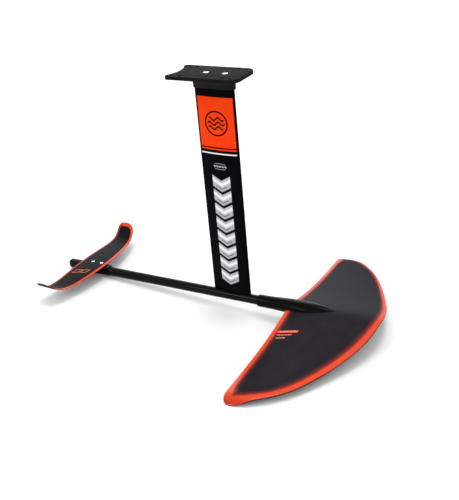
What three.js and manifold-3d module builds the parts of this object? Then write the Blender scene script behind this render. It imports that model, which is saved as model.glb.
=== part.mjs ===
// Hydrofoil assembly for a board: mounting plate, mast, fuselage, front wing and stabiliser,
// with the screws and threaded sleeves that hold them together.
//
// Millimetres. +X points forward to the front wing, +Y to port and +Z up. The origin is the
// centre of the mounting plate's top face, where the plate meets the board.
import * as THREE from 'three';
import { mergeVertices } from 'three/addons/utils/BufferGeometryUtils.js';
import Module from 'manifold-3d';

const wasm = await Module();
wasm.setup();

// ---------------------------------------------------------------- driving dimensions

const GAP = 0.3; // clearance between pieces that touch

const plate = {
  rear: -101.2, front: 104, halfWidth: 55.5, thickness: 9.6,
  rearCorner: 8, frontCorner: 24, edge: 0.8,
  scallopHalf: 44, scallopControl: 18.5, // the rear edge is a hollow Bezier curve
  holeX: [-82.5, -61.2, 61.2, 82.5], holeY: [-45, 45], holeRadius: 4.4,
};

const mast = {
  centre: 10, chord: 115.3, halfThickness: 8.25, trailingHalf: 1.1,
  noseShare: 0.35, noseFullness: 2.2, tailFullness: 2.2, // share of the chord before full thickness
  top: -22, foot: -637.7, wall: 2,
  cells: [[-38, -20], [-17, 54], [57, 62]], // hollow cells between the webs, from X to X
};

const head = {
  top: -9.9, bottom: -40, flangeBottom: -21.7, tenonBottom: -100, chamfer: 1.2,
  topCentre: 10.5, topHalfLength: 65.5, topHalfWidth: 18,
  bottomCentre: 10.3, bottomHalfLength: 60.6, bottomHalfWidth: 11.4,
};

const fuselage = {
  axis: -642, radius: 13.4, shoulder: 91.7, spigotRadius: 11, spigotEnd: 176,
  tailStart: -404, pocketFloor: -638, saddleTop: -624.6, saddleFront: -424, saddleRear: -506,
};

const wing = {
  halfSpan: 395.5, rootRear: 183.8, rootFront: 445.2, centreHeight: -634.4,
  thicknessRatio: 0.078, camber: 0.01, trailingHalf: 0.6,
  tipStart: 0.957, tipCentre: 0.39, tipPower: 2,
  crown: 0.06, apex: 0.05, // how softly the droop and the front edge turn at the middle
  curlStart: 0.905, curl: 16.6, curlPower: 2.2, // the tips turn down over the last of the span
  stations: 42, sectionSteps: 12,
};

const socket = {
  start: 92, radius: 17.2, bore: 11.3, boreEnd: 176.6, chamfer: 0.9,
  flareStart: 110, flareEnd: 240, flare: 8, // the sleeve widens into the wing
  riseStart: 100, riseEnd: 210, rise: 4.3, // and its top rises a little
  taperStart: 225, fallStart: 240, fall: 11, noseEnd: 332, // then both close in to the nose
  leanStart: 180, leanEnd: 300, lean: 0.3, // where the section turns from round to peaked
  bottomStart: 185, noseBottom: -647,
};

const stabiliser = {
  halfSpan: 216.8, rootRear: -518.1, rootFront: -429.1, height: -621,
  thicknessRatio: 0.075, camber: 0.006, trailingHalf: 0.5,
  tipStart: 0.9, tipCentre: 0.49, tipPower: 2.8, stations: 34, sectionSteps: 9,
  padFront: -436, padRear: -500, padHalfWidth: 11, padBottom: -624.3,
};

// Screw sizes: shank radius, head radius, head height and hexagon socket (across flats, deep).
const M8_COUNTERSUNK = { shank: 4, head: 7.6, cone: 3.6, flats: 5, socketDepth: 2.6 };
const M6_COUNTERSUNK = { shank: 3, head: 5.6, cone: 2.6, flats: 4, socketDepth: 1.8 };
const M8_CAP = { shank: 4, head: 6.5, height: 8, flats: 6, socketDepth: 4 };
const M8_BUTTON = { shank: 4, head: 7, height: 4.4, flats: 5, socketDepth: 2.5 };

const plateScrewX = { rear: -10, front: 44.5 };
const footScrewX = { rear: 8, front: 38 };
const wingScrewX = { rear: 143, front: 165 };
const stabiliserScrewX = { rear: -479.6, front: -447.9 };

const SLEEVE_WALL = 0.6; // threaded sleeve round a screw
const TIP_CHAMFER = 0.8; // bevel at the tip of a screw
const HEAD_RIM = 0.4; // straight rim above a countersunk head's cone
const ROUND = 20; // sides of a small round piece
const BAR_SIDES = 36; // sides of the fuselage and the wing socket

// ---------------------------------------------------------------- materials

const metal = (color, roughness) =>
  new THREE.MeshStandardMaterial({ color, roughness, metalness: 0.9 });
const coated = (color, roughness) =>
  new THREE.MeshStandardMaterial({ color, roughness, metalness: 0.2 });

const materials = {
  plateCoat: coated(0x3a3a3e, 0.6),
  castBlack: coated(0x232327, 0.55),
  mastCoat: coated(0x18181c, 0.4),
  fuselageCoat: coated(0x141416, 0.3),
  carbon: new THREE.MeshStandardMaterial({ color: 0x323038, roughness: 0.5, metalness: 0 }),
  stainless: metal(0xd8d8dc, 0.25),
  sleeveSteel: metal(0x9a9aa0, 0.4),
  rawAluminium: metal(0xb4b6ba, 0.45),
};

// ---------------------------------------------------------------- solid helpers

/** Six times the volume enclosed by an indexed geometry; negative when it is inside out. */
function signedVolume(position, index) {
  const [a, b, c] = [new THREE.Vector3(), new THREE.Vector3(), new THREE.Vector3()];
  let sum = 0;
  for (let i = 0; i < index.length; i += 3) {
    a.fromBufferAttribute(position, index[i]);
    b.fromBufferAttribute(position, index[i + 1]);
    c.fromBufferAttribute(position, index[i + 2]);
    sum += a.dot(b.cross(c));
  }
  return sum;
}

/** Turns a three.js geometry into a solid: corners merged, collapsed faces dropped, faces out. */
function solid(geometry) {
  const bare = geometry.clone();
  bare.deleteAttribute('normal');
  bare.deleteAttribute('uv');
  const merged = mergeVertices(bare, 1e-4);
  const corners = Array.from(merged.index.array);
  const faces = [];
  for (let i = 0; i < corners.length; i += 3) {
    const [a, b, c] = corners.slice(i, i + 3);
    if (a !== b && b !== c && c !== a) faces.push([a, b, c]);
  }
  if (signedVolume(merged.attributes.position, faces.flat()) < 0) {
    faces.forEach((face) => face.reverse());
  }
  const mesh = new wasm.Mesh({
    numProp: 3,
    vertProperties: new Float32Array(merged.attributes.position.array),
    triVerts: new Uint32Array(faces.flat()),
  });
  return new wasm.Manifold(mesh);
}

/** Gives a solid back as a geometry that three.js can show. */
function geometryOf(body) {
  const mesh = body.getMesh();
  const geometry = new THREE.BufferGeometry();
  geometry.setAttribute('position', new THREE.BufferAttribute(mesh.vertProperties, 3));
  geometry.setIndex(new THREE.BufferAttribute(mesh.triVerts, 1));
  geometry.computeVertexNormals();
  return geometry;
}

const UPRIGHT = new THREE.Matrix4().makeRotationX(Math.PI / 2);
const ALONG_X = new THREE.Matrix4().makeRotationZ(-Math.PI / 2);

/** Revolves [radius, height] points about the vertical line through (x, 0). */
function turned(profile, x, sides = ROUND) {
  const points = profile.map(([radius, height]) => new THREE.Vector2(radius, height));
  const geometry = new THREE.LatheGeometry(points, sides);
  geometry.applyMatrix4(UPRIGHT).translate(x, 0, 0);
  return solid(geometry);
}

/** A vertical cylinder at (x, 0) from one height to the other. */
function post(x, radius, low, high, sides = ROUND) {
  return turned([[0, low], [radius, low], [radius, high], [0, high]], x, sides);
}

/** A round bar along X at the fuselage's axis height. */
function bar(radius, from, to) {
  const geometry = new THREE.CylinderGeometry(radius, radius, to - from, BAR_SIDES);
  geometry.applyMatrix4(ALONG_X).translate((from + to) / 2, 0, fuselage.axis);
  return solid(geometry);
}

/** A box between two opposite corners. */
function block([x0, y0, z0], [x1, y1, z1]) {
  const geometry = new THREE.BoxGeometry(x1 - x0, y1 - y0, z1 - z0);
  return solid(geometry.translate((x0 + x1) / 2, (y0 + y1) / 2, (z0 + z1) / 2));
}

/** An upright prism of a flat outline in X and Y. */
function prism(shape, low, high, steps = 12) {
  const options = { depth: high - low, bevelEnabled: false, curveSegments: steps };
  return solid(new THREE.ExtrudeGeometry(shape, options).translate(0, 0, low));
}

/** Skins rings of equal length into one closed body, with a fan at each end. */
function loft(rings) {
  const count = rings[0].length;
  const points = rings.flat();
  const faces = [];
  for (let row = 0; row < rings.length - 1; row += 1) {
    for (let k = 0; k < count; k += 1) {
      const here = row * count + k;
      const next = row * count + ((k + 1) % count);
      faces.push(here, next, here + count, next, next + count, here + count);
    }
  }
  const cap = (ring, first, flip) => {
    const middle = new THREE.Vector3();
    ring.forEach((point) => middle.addScaledVector(point, 1 / count));
    const hub = points.push(middle) - 1;
    for (let k = 0; k < count; k += 1) {
      const pair = [first + k, first + ((k + 1) % count)];
      faces.push(hub, ...(flip ? pair.reverse() : pair));
    }
  };
  cap(rings[0], 0, true);
  cap(rings[rings.length - 1], (rings.length - 1) * count, false);
  const geometry = new THREE.BufferGeometry().setFromPoints(points);
  geometry.setIndex(faces);
  return solid(geometry);
}

/** Signed power, which squares up a circle's cosine or sine into a superellipse's. */
const squared = (value, power) => Math.sign(value) * Math.abs(value) ** (2 / power);

/** A superellipse ring across X, between a low and a high point. */
function crossRing({ x, halfWidth, low, high, power = 2 }, sides = BAR_SIDES) {
  return Array.from({ length: sides }, (_, k) => {
    const turn = (2 * Math.PI * (k + 0.5)) / sides;
    const y = halfWidth * squared(Math.cos(turn), power);
    const z = (low + high) / 2 + ((high - low) / 2) * squared(Math.sin(turn), power);
    return new THREE.Vector3(x, y, z);
  });
}

/** A superellipse ring lying flat at a height. */
function levelRing({ z, centre, halfLength, halfWidth, power = 3 }, sides = 40) {
  return Array.from({ length: sides }, (_, k) => {
    const turn = (2 * Math.PI * k) / sides;
    const x = centre + halfLength * squared(Math.cos(turn), power);
    return new THREE.Vector3(x, halfWidth * squared(Math.sin(turn), power), z);
  });
}

// ---------------------------------------------------------------- foil sections and planforms

/** Half thickness of the mast at X: a full rounded nose, a long slow taper to the rear edge. */
function mastHalfThickness(x) {
  const share = (mast.centre + mast.chord / 2 - x) / mast.chord;
  if (share < mast.noseShare) {
    const back = 1 - share / mast.noseShare;
    return mast.halfThickness * (1 - back ** mast.noseFullness) ** (1 / mast.noseFullness);
  }
  const along = (share - mast.noseShare) / (1 - mast.noseShare);
  const loss = mast.halfThickness - mast.trailingHalf;
  return mast.halfThickness - loss * along ** mast.tailFullness;
}

/** The mast's outline between two X stations, moved outward by an offset (inward if negative). */
function mastOutline(from, to, offset, steps = 20) {
  const side = Array.from({ length: steps + 1 }, (_, k) => {
    const share = (1 - Math.cos((Math.PI * k) / steps)) / 2; // crowded at both ends
    const x = to + (from - to) * share;
    return new THREE.Vector2(x, mastHalfThickness(x) + offset);
  });
  const far = side.map(({ x, y }) => new THREE.Vector2(x, -y)).reverse();
  return new THREE.Shape([...side, ...far]);
}

const mastRear = mast.centre - mast.chord / 2;
const mastNose = mast.centre + mast.chord / 2;

/** Thickness of a classic four-digit foil at a share of its chord, for a full thickness of 1. */
function foilHalfThickness(s) {
  return 5 * (0.2969 * Math.sqrt(s) - 0.126 * s - 0.3516 * s ** 2 + 0.2843 * s ** 3
    - 0.1036 * s ** 4);
}

/** The ring of a foil section at span position y, from its rear edge, over the top and back. */
function foilRing(y, { rear, front, height }, { thicknessRatio, camber, trailingHalf }, steps) {
  const chord = front - rear;
  const point = (s, side) => {
    const half = thicknessRatio * foilHalfThickness(s) * chord;
    const edge = trailingHalf * s * Math.min(1, chord / 40);
    const arch = 4 * camber * chord * s * (1 - s);
    return new THREE.Vector3(front - s * chord, y, height + arch + side * (half + edge));
  };
  const shares = Array.from({ length: steps + 1 }, (_, k) =>
    (1 - Math.cos((Math.PI * k) / steps)) / 2);
  const upper = [...shares].reverse().map((s) => point(s, 1));
  const lower = shares.slice(1).map((s) => point(s, -1));
  return [...upper, ...lower];
}

/** Draws both edges towards a line inside the chord so that the tip closes in a superellipse. */
function roundedTip(e, rear, front, { tipStart, tipCentre, tipPower }) {
  const along = Math.max(0, (e - tipStart) / (1 - tipStart));
  const open = Math.max(0, 1 - along ** tipPower) ** (1 / tipPower);
  const middle = rear + (front - rear) * tipCentre;
  return { rear: middle + (rear - middle) * open, front: middle + (front - middle) * open };
}

/** Share of the way from one place to another, held between 0 and 1. */
const progress = (x, from, to) => Math.min(1, Math.max(0, (x - from) / (to - from)));

/** A smooth step of a share. */
const ease = (share) => share * share * (3 - 2 * share);

/** Edges and height of the front wing at a share e of its half span. */
function wingStation(e) {
  const rear = wing.rootRear - 20.5 * e ** 2 + 18.5 * e ** 4;
  const point = 17.9 * (Math.hypot(e, wing.apex) - wing.apex);
  const sweep = 234 * e ** 2 - 138.1 * e ** 4 + 132 * e ** 8 - 25.3 * e ** 24;
  const front = wing.rootFront - point - sweep;
  const curl = wing.curl * progress(e, wing.curlStart, 1) ** wing.curlPower;
  const droop = 114 * Math.hypot(e, wing.crown) - 68.8 * e ** 2 - 1.5 * e ** 6 + curl;
  return { ...roundedTip(e, rear, front, wing), height: wing.centreHeight - droop };
}

/** Edges and height of the stabiliser at a share e of its half span. */
function stabiliserStation(e) {
  const rear = stabiliser.rootRear + 13.4 * e ** 2 - 24 * e ** 4;
  const front = stabiliser.rootFront - 42.1 * e ** 2 + 1.8 * e ** 4;
  const rise = 44.8 * e ** 8 + 2.2 * e ** 4 - 12.8 * e ** 2;
  return { ...roundedTip(e, rear, front, stabiliser), height: stabiliser.height + rise };
}

/** A whole lifting surface: rings from tip to tip, crowded towards the tips. */
function liftingSurface(spec, station) {
  const last = 0.9985; // the last ring, just inside the very tip
  const rings = Array.from({ length: spec.stations + 1 }, (_, k) => {
    const e = last * Math.sin(Math.PI * (k / spec.stations - 0.5));
    return foilRing(e * spec.halfSpan, station(Math.abs(e)), spec, spec.sectionSteps);
  });
  return loft(rings);
}

// ---------------------------------------------------------------- fasteners

/** A hexagon key socket sunk into a head, to be cut away. */
function keySocket(x, flats, low, high) {
  return post(x, flats / Math.sqrt(3), low, high, 6);
}

/** A countersunk screw whose head is just below the height given, pointing down. */
function countersunkScrew(x, top, tip, size) {
  const rim = top - HEAD_RIM;
  const profile = [[0, top], [size.head, top], [size.head, rim], [size.shank, rim - size.cone],
    [size.shank, tip + TIP_CHAMFER], [size.shank - TIP_CHAMFER, tip], [0, tip]];
  return turned(profile, x).subtract(keySocket(x, size.flats, top - size.socketDepth, top + 1));
}

/** The hole that a countersunk screw sits in, open at the top. */
function countersink(x, top, through, size) {
  const mouth = size.head + GAP;
  const shank = size.shank + GAP;
  const rim = top - HEAD_RIM - GAP;
  return turned([[0, top + 1], [mouth, top + 1], [mouth, rim],
    [shank, rim - (mouth - shank)], [shank, through], [0, through]], x);
}

/** A cap screw from below: its head's underside rests at a height and its tip is above. */
function capScrewUp(x, seat, tip, size) {
  const low = seat - size.height;
  const profile = [[0, low], [size.head - 0.6, low], [size.head, low + 0.6], [size.head, seat],
    [size.shank, seat], [size.shank, tip - TIP_CHAMFER], [size.shank - TIP_CHAMFER, tip], [0, tip]];
  return turned(profile, x).subtract(keySocket(x, size.flats, low - 1, low + size.socketDepth));
}

/** A domed button screw from below. */
function buttonScrewUp(x, seat, tip, size) {
  const low = seat - size.height;
  const dome = [[0, low], [size.head * 0.45, low], [size.head * 0.75, low + size.height * 0.22],
    [size.head * 0.94, low + size.height * 0.55], [size.head, seat - 0.5], [size.head, seat]];
  const shank = [[size.shank, seat], [size.shank, tip - TIP_CHAMFER],
    [size.shank - TIP_CHAMFER, tip], [0, tip]];
  const body = turned([...dome, ...shank], x);
  return body.subtract(keySocket(x, size.flats, low - 1, low + size.socketDepth));
}

/** A threaded sleeve that a screw goes into: a plain tube with clearance to both. */
function sleeve(x, shank, low, high) {
  const inner = shank + GAP;
  const outer = inner + SLEEVE_WALL;
  return turned([[inner, low], [outer, low], [outer, high], [inner, high], [inner, low]], x);
}

/** The hole for a threaded sleeve. */
function sleeveHole(x, shank, low, high) {
  return post(x, shank + SLEEVE_WALL + 2 * GAP, low, high);
}

// ---------------------------------------------------------------- sub-parts

const plateScrewTop = -0.3;
const plateScrewTip = -19.4;
const headHoleFloor = -20;

/** The mounting plate's outline, with its hollow rear edge and eight holes. */
function plateShape() {
  const { rear, front, halfWidth, rearCorner: r, frontCorner: f } = plate;
  const { scallopHalf, scallopControl } = plate;
  const shape = new THREE.Shape();
  const quarter = Math.PI / 2;
  shape.moveTo(rear, -scallopHalf);
  shape.absarc(rear + r, r - halfWidth, r, 2 * quarter, 3 * quarter);
  shape.absarc(front - f, f - halfWidth, f, -quarter, 0);
  shape.absarc(front - f, halfWidth - f, f, 0, quarter);
  shape.absarc(rear + r, halfWidth - r, r, quarter, 2 * quarter);
  const hollow = rear + scallopControl;
  shape.bezierCurveTo(hollow, scallopHalf / 2, hollow, -scallopHalf / 2, rear, -scallopHalf);
  for (const x of plate.holeX) {
    for (const y of plate.holeY) {
      shape.holes.push(new THREE.Path().absarc(x, y, plate.holeRadius, 0, 2 * Math.PI, true));
    }
  }
  return shape;
}

function mountPlate() {
  const { thickness, edge } = plate;
  const geometry = new THREE.ExtrudeGeometry(plateShape(), {
    depth: thickness - 2 * edge, bevelThickness: edge, bevelSize: edge, bevelOffset: -edge,
    bevelSegments: 1, curveSegments: 9,
  });
  let body = solid(geometry.translate(0, 0, edge - thickness));
  for (const x of Object.values(plateScrewX)) {
    body = body.subtract(countersink(x, 0, -thickness - 1, M8_COUNTERSUNK));
  }
  return body;
}

/** The cast head: flange under the plate, collar round the mast and tenon inside it. */
function mastHead() {
  const upper = { centre: head.topCentre, halfLength: head.topHalfLength,
    halfWidth: head.topHalfWidth };
  const lower = { centre: head.bottomCentre, halfLength: head.bottomHalfLength,
    halfWidth: head.bottomHalfWidth };
  const middle = {
    centre: head.topCentre, halfLength: head.topHalfLength - 2, halfWidth: head.topHalfWidth - 3.4,
  };
  const rim = { ...lower, halfLength: lower.halfLength - 1, halfWidth: lower.halfWidth - 0.9 };
  let body = loft([
    levelRing({ z: head.top, ...upper }),
    levelRing({ z: head.top - 5, ...middle }),
    levelRing({ z: head.bottom + 8, ...lower }),
    levelRing({ z: head.bottom + head.chamfer, ...lower }),
    levelRing({ z: head.bottom, ...rim }),
  ]);
  const pocket = mastOutline(mastRear, mastNose, GAP);
  body = body.subtract(prism(pocket, head.bottom - 1, head.flangeBottom));
  const [from, to] = mast.cells[1];
  const tenon = mastOutline(from + GAP, to - GAP, -mast.wall - GAP, 8);
  body = body.add(prism(tenon, head.tenonBottom, head.flangeBottom + 1));
  for (const x of Object.values(plateScrewX)) {
    body = body.subtract(sleeveHole(x, M8_COUNTERSUNK.shank, headHoleFloor, head.top + 1));
  }
  return body;
}

/** The mast: one foil-section tube with a web between each pair of cells. */
function mastExtrusion() {
  let body = prism(mastOutline(mastRear, mastNose, 0), mast.foot, mast.top);
  for (const [from, to] of mast.cells) {
    body = body.subtract(prism(mastOutline(from, to, -mast.wall, 8), mast.foot - 1, mast.top + 1));
  }
  return body;
}

const footInsertTop = -575;
const footSleeve = { low: -637.4, high: -622, screwTip: -621, holeTop: -618 };

/** The block in the mast's centre cell that the foot screws pull on. */
function footInsert() {
  const [from, to] = mast.cells[1];
  const outline = mastOutline(from + GAP, to - GAP, -mast.wall - GAP, 8);
  let body = prism(outline, mast.foot, footInsertTop);
  for (const x of Object.values(footScrewX)) {
    body = body.subtract(sleeveHole(x, M8_CAP.shank, mast.foot - 1, footSleeve.holeTop));
  }
  return body;
}

const footSeat = -647; // underside of the pocket's floor, where the foot screws' heads bear
const wingSleeve = { low: -651.3, high: -641.5, screwTip: -640.9, holeTop: -640 };
const tailSleeve = { low: -637, high: -625, screwTip: -638, holeFloor: -640 };

/** The tail: the round bar grows a flat saddle, then tapers to a squared end. */
function tail() {
  const { radius, axis, tailStart, saddleFront, saddleRear, saddleTop } = fuselage;
  const stations = [
    { x: tailStart + 2, halfWidth: radius, low: axis - radius, high: axis + radius, power: 2 },
    { x: tailStart - 8, halfWidth: 13, low: axis - radius, high: axis + 14.2, power: 2.3 },
    { x: saddleFront, halfWidth: 12.2, low: axis - 13.3, high: saddleTop + 1.4, power: 3.4 },
    { x: saddleRear, halfWidth: 11.6, low: axis - 13, high: saddleTop + 1.2, power: 3.6 },
    { x: -532, halfWidth: 11.3, low: axis - 11.3, high: saddleTop - 0.6, power: 3.4 },
    { x: -560, halfWidth: 11, low: axis - 9.4, high: saddleTop - 1.4, power: 4 },
    { x: -565.6, halfWidth: 10.8, low: axis - 6.6, high: saddleTop - 1.6, power: 4.4 },
    { x: -567, halfWidth: 10, low: axis - 5, high: saddleTop - 2.4, power: 4.4 },
  ];
  const above = block([saddleRear, -20, saddleTop], [saddleFront + 4, 20, saddleTop + 20]);
  return loft(stations.map((station) => crossRing(station))).subtract(above);
}

function fuselageBody() {
  const { radius, axis, shoulder, spigotRadius, spigotEnd, tailStart, pocketFloor } = fuselage;
  let body = bar(radius, tailStart, shoulder).add(bar(spigotRadius, shoulder - 1, spigotEnd));
  body = body.add(tail());
  const pocket = mastOutline(mastRear, mastNose, GAP);
  body = body.subtract(prism(pocket, pocketFloor, axis + radius + 5));
  for (const x of Object.values(footScrewX)) {
    body = body.subtract(post(x, M8_CAP.shank + GAP, footSeat - 1, pocketFloor + 1));
    body = body.subtract(post(x, M8_CAP.head + GAP, axis - radius - 1, footSeat));
  }
  for (const x of Object.values(wingScrewX)) {
    const hole = sleeveHole(x, M8_BUTTON.shank, axis - spigotRadius - 1, wingSleeve.holeTop);
    body = body.subtract(hole);
  }
  for (const x of Object.values(stabiliserScrewX)) {
    const mouth = fuselage.saddleTop + 1;
    body = body.subtract(sleeveHole(x, M6_COUNTERSUNK.shank, tailSleeve.holeFloor, mouth));
  }
  return body;
}

const wingSeat = -656.6; // flats under the socket where the wing screws' heads bear

/** The fairing's section at X: it widens into the wing, then closes in to a nose on its top. */
function fairingStation(x) {
  const { axis } = fuselage;
  const { radius, flareStart, flareEnd, flare, riseStart, riseEnd, rise, noseEnd } = socket;
  const width = radius + flare * ease(progress(x, flareStart, flareEnd));
  const taper = (1 - progress(x, socket.taperStart, noseEnd) ** 2) ** 0.9;
  const climb = rise * ease(progress(x, riseStart, riseEnd));
  const drop = socket.fall * progress(x, socket.fallStart, noseEnd) ** 2.2;
  const lean = socket.lean * ease(progress(x, socket.leanStart, socket.leanEnd));
  const bottom = axis - radius;
  const lift = (socket.noseBottom - bottom) * progress(x, socket.bottomStart, noseEnd) ** 1.1;
  return {
    x, halfWidth: Math.max(0.6, width * taper), high: axis + radius + climb - drop,
    low: bottom + lift, power: 2 - lean,
  };
}

/** The fairing: a round sleeve with a chamfered mouth that flares into the wing. */
function wingFairing() {
  const { start, radius, chamfer, noseEnd } = socket;
  const mouth = { x: start, halfWidth: radius - chamfer, low: fuselage.axis - radius + chamfer,
    high: fuselage.axis + radius - chamfer };
  const places = [start + chamfer, 125, 150, 180, 200, 220, 240, 260, 280, 298, 312, 323, noseEnd];
  const stations = [mouth, ...places.map(fairingStation)];
  return loft(stations.map((station) => crossRing(station)));
}

function frontWing() {
  let body = liftingSurface(wing, wingStation).add(wingFairing());
  body = body.subtract(bar(socket.bore, socket.start - 1, socket.boreEnd));
  const { axis } = fuselage;
  for (const x of Object.values(wingScrewX)) {
    body = body.subtract(post(x, M8_BUTTON.shank + GAP, wingSeat - 5, axis));
    body = body.subtract(post(x, M8_BUTTON.head + 0.6, wingSeat - 5, wingSeat));
  }
  return body;
}

/** The screw heads of the stabiliser sit just below its skin at these heights. */
const stabiliserHeadTop = { rear: -618.7, front: -618.2 };

function stabiliserBody() {
  const { padFront, padRear, padHalfWidth, padBottom, height } = stabiliser;
  const pad = block([padRear, -padHalfWidth, padBottom], [padFront, padHalfWidth, height - 1]);
  let body = liftingSurface(stabiliser, stabiliserStation).add(pad);
  for (const [end, x] of Object.entries(stabiliserScrewX)) {
    const top = stabiliserHeadTop[end] + GAP;
    body = body.subtract(countersink(x, top, padBottom - 1, M6_COUNTERSUNK));
  }
  return body;
}

// ---------------------------------------------------------------- assembly

const assembly = new THREE.Group();

/** Adds one named piece to the assembly. */
function place(name, body, material) {
  const mesh = new THREE.Mesh(geometryOf(body), material);
  mesh.name = name;
  assembly.add(mesh);
}

place('mount_plate', mountPlate(), materials.plateCoat);
place('mast_head', mastHead(), materials.castBlack);
place('mast_extrusion', mastExtrusion(), materials.mastCoat);
place('foot_insert', footInsert(), materials.rawAluminium);
place('fuselage', fuselageBody(), materials.fuselageCoat);
place('front_wing', frontWing(), materials.carbon);
place('stabiliser', stabiliserBody(), materials.carbon);

for (const end of ['rear', 'front']) {
  const plateX = plateScrewX[end];
  const plateScrew = countersunkScrew(plateX, plateScrewTop, plateScrewTip, M8_COUNTERSUNK);
  place(`plate_screw_${end}`, plateScrew, materials.stainless);
  const headInsert = sleeve(plateX, M8_COUNTERSUNK.shank, headHoleFloor + GAP, head.top - GAP);
  place(`head_insert_${end}`, headInsert, materials.sleeveSteel);

  const footX = footScrewX[end];
  const footScrew = capScrewUp(footX, footSeat - GAP, footSleeve.screwTip, M8_CAP);
  place(`foot_screw_${end}`, footScrew, materials.stainless);
  const footThread = sleeve(footX, M8_CAP.shank, footSleeve.low, footSleeve.high);
  place(`foot_sleeve_${end}`, footThread, materials.sleeveSteel);

  const wingX = wingScrewX[end];
  const wingScrew = buttonScrewUp(wingX, wingSeat - GAP, wingSleeve.screwTip, M8_BUTTON);
  place(`wing_screw_${end}`, wingScrew, materials.stainless);
  const wingThread = sleeve(wingX, M8_BUTTON.shank, wingSleeve.low, wingSleeve.high);
  place(`wing_sleeve_${end}`, wingThread, materials.sleeveSteel);

  const tailX = stabiliserScrewX[end];
  const top = stabiliserHeadTop[end];
  const tailScrew = countersunkScrew(tailX, top, tailSleeve.screwTip, M6_COUNTERSUNK);
  place(`stabiliser_screw_${end}`, tailScrew, materials.stainless);
  const tailThread = sleeve(tailX, M6_COUNTERSUNK.shank, tailSleeve.low, tailSleeve.high);
  place(`tail_sleeve_${end}`, tailThread, materials.sleeveSteel);
}

export default assembly;
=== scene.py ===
"""Looks of the hydrofoil assembly: fine surfaces, finishes and a plain studio.

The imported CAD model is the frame. Every visible piece of it is stood for by a finer surface in
the same place, worked out with numpy, and each gets its own finish. Lengths are in metres; +X
points forward to the front wing, +Y to port and +Z up.
"""

import logging
import math
from dataclasses import dataclass, field
from enum import Enum
from typing import Callable, Iterable, Optional, Sequence, Union

import bmesh
import bpy
import numpy as np
from mathutils import Matrix, Vector


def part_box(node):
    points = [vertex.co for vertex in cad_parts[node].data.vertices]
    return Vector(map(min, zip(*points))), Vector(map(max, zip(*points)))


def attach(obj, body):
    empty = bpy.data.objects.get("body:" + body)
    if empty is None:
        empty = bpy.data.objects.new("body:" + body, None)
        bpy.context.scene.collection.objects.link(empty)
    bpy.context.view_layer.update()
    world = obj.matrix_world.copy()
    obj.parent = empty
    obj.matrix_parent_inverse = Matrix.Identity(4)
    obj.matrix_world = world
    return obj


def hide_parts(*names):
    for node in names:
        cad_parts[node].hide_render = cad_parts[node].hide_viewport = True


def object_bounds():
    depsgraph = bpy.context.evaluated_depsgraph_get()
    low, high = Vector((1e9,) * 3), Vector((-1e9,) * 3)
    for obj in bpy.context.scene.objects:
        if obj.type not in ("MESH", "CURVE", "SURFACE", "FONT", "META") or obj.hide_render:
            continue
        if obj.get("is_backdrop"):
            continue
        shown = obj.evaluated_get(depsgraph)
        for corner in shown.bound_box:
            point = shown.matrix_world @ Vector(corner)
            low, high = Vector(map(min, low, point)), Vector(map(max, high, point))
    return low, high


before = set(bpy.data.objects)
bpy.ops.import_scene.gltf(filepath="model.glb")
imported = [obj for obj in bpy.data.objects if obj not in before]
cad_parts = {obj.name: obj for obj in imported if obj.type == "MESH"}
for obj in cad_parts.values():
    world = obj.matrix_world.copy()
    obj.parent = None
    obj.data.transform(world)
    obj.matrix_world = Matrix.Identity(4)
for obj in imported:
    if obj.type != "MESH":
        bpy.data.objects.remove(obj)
CAD_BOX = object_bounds()

MM = 0.001
GAP = 0.3 * MM
MERGE = 0.001 * MM
ROOT = "root"
LOG = logging.getLogger("hydrofoil")


class End(Enum):
    """Which screw of a pair: the one nearer the tail or the one nearer the front wing."""

    REAR = "rear"
    FRONT = "front"


class Cut(Enum):
    """What a tool does to the piece it meets."""

    JOIN = "UNION"
    REMOVE = "DIFFERENCE"


# ---------------------------------------------------------------- shader maths


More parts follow.
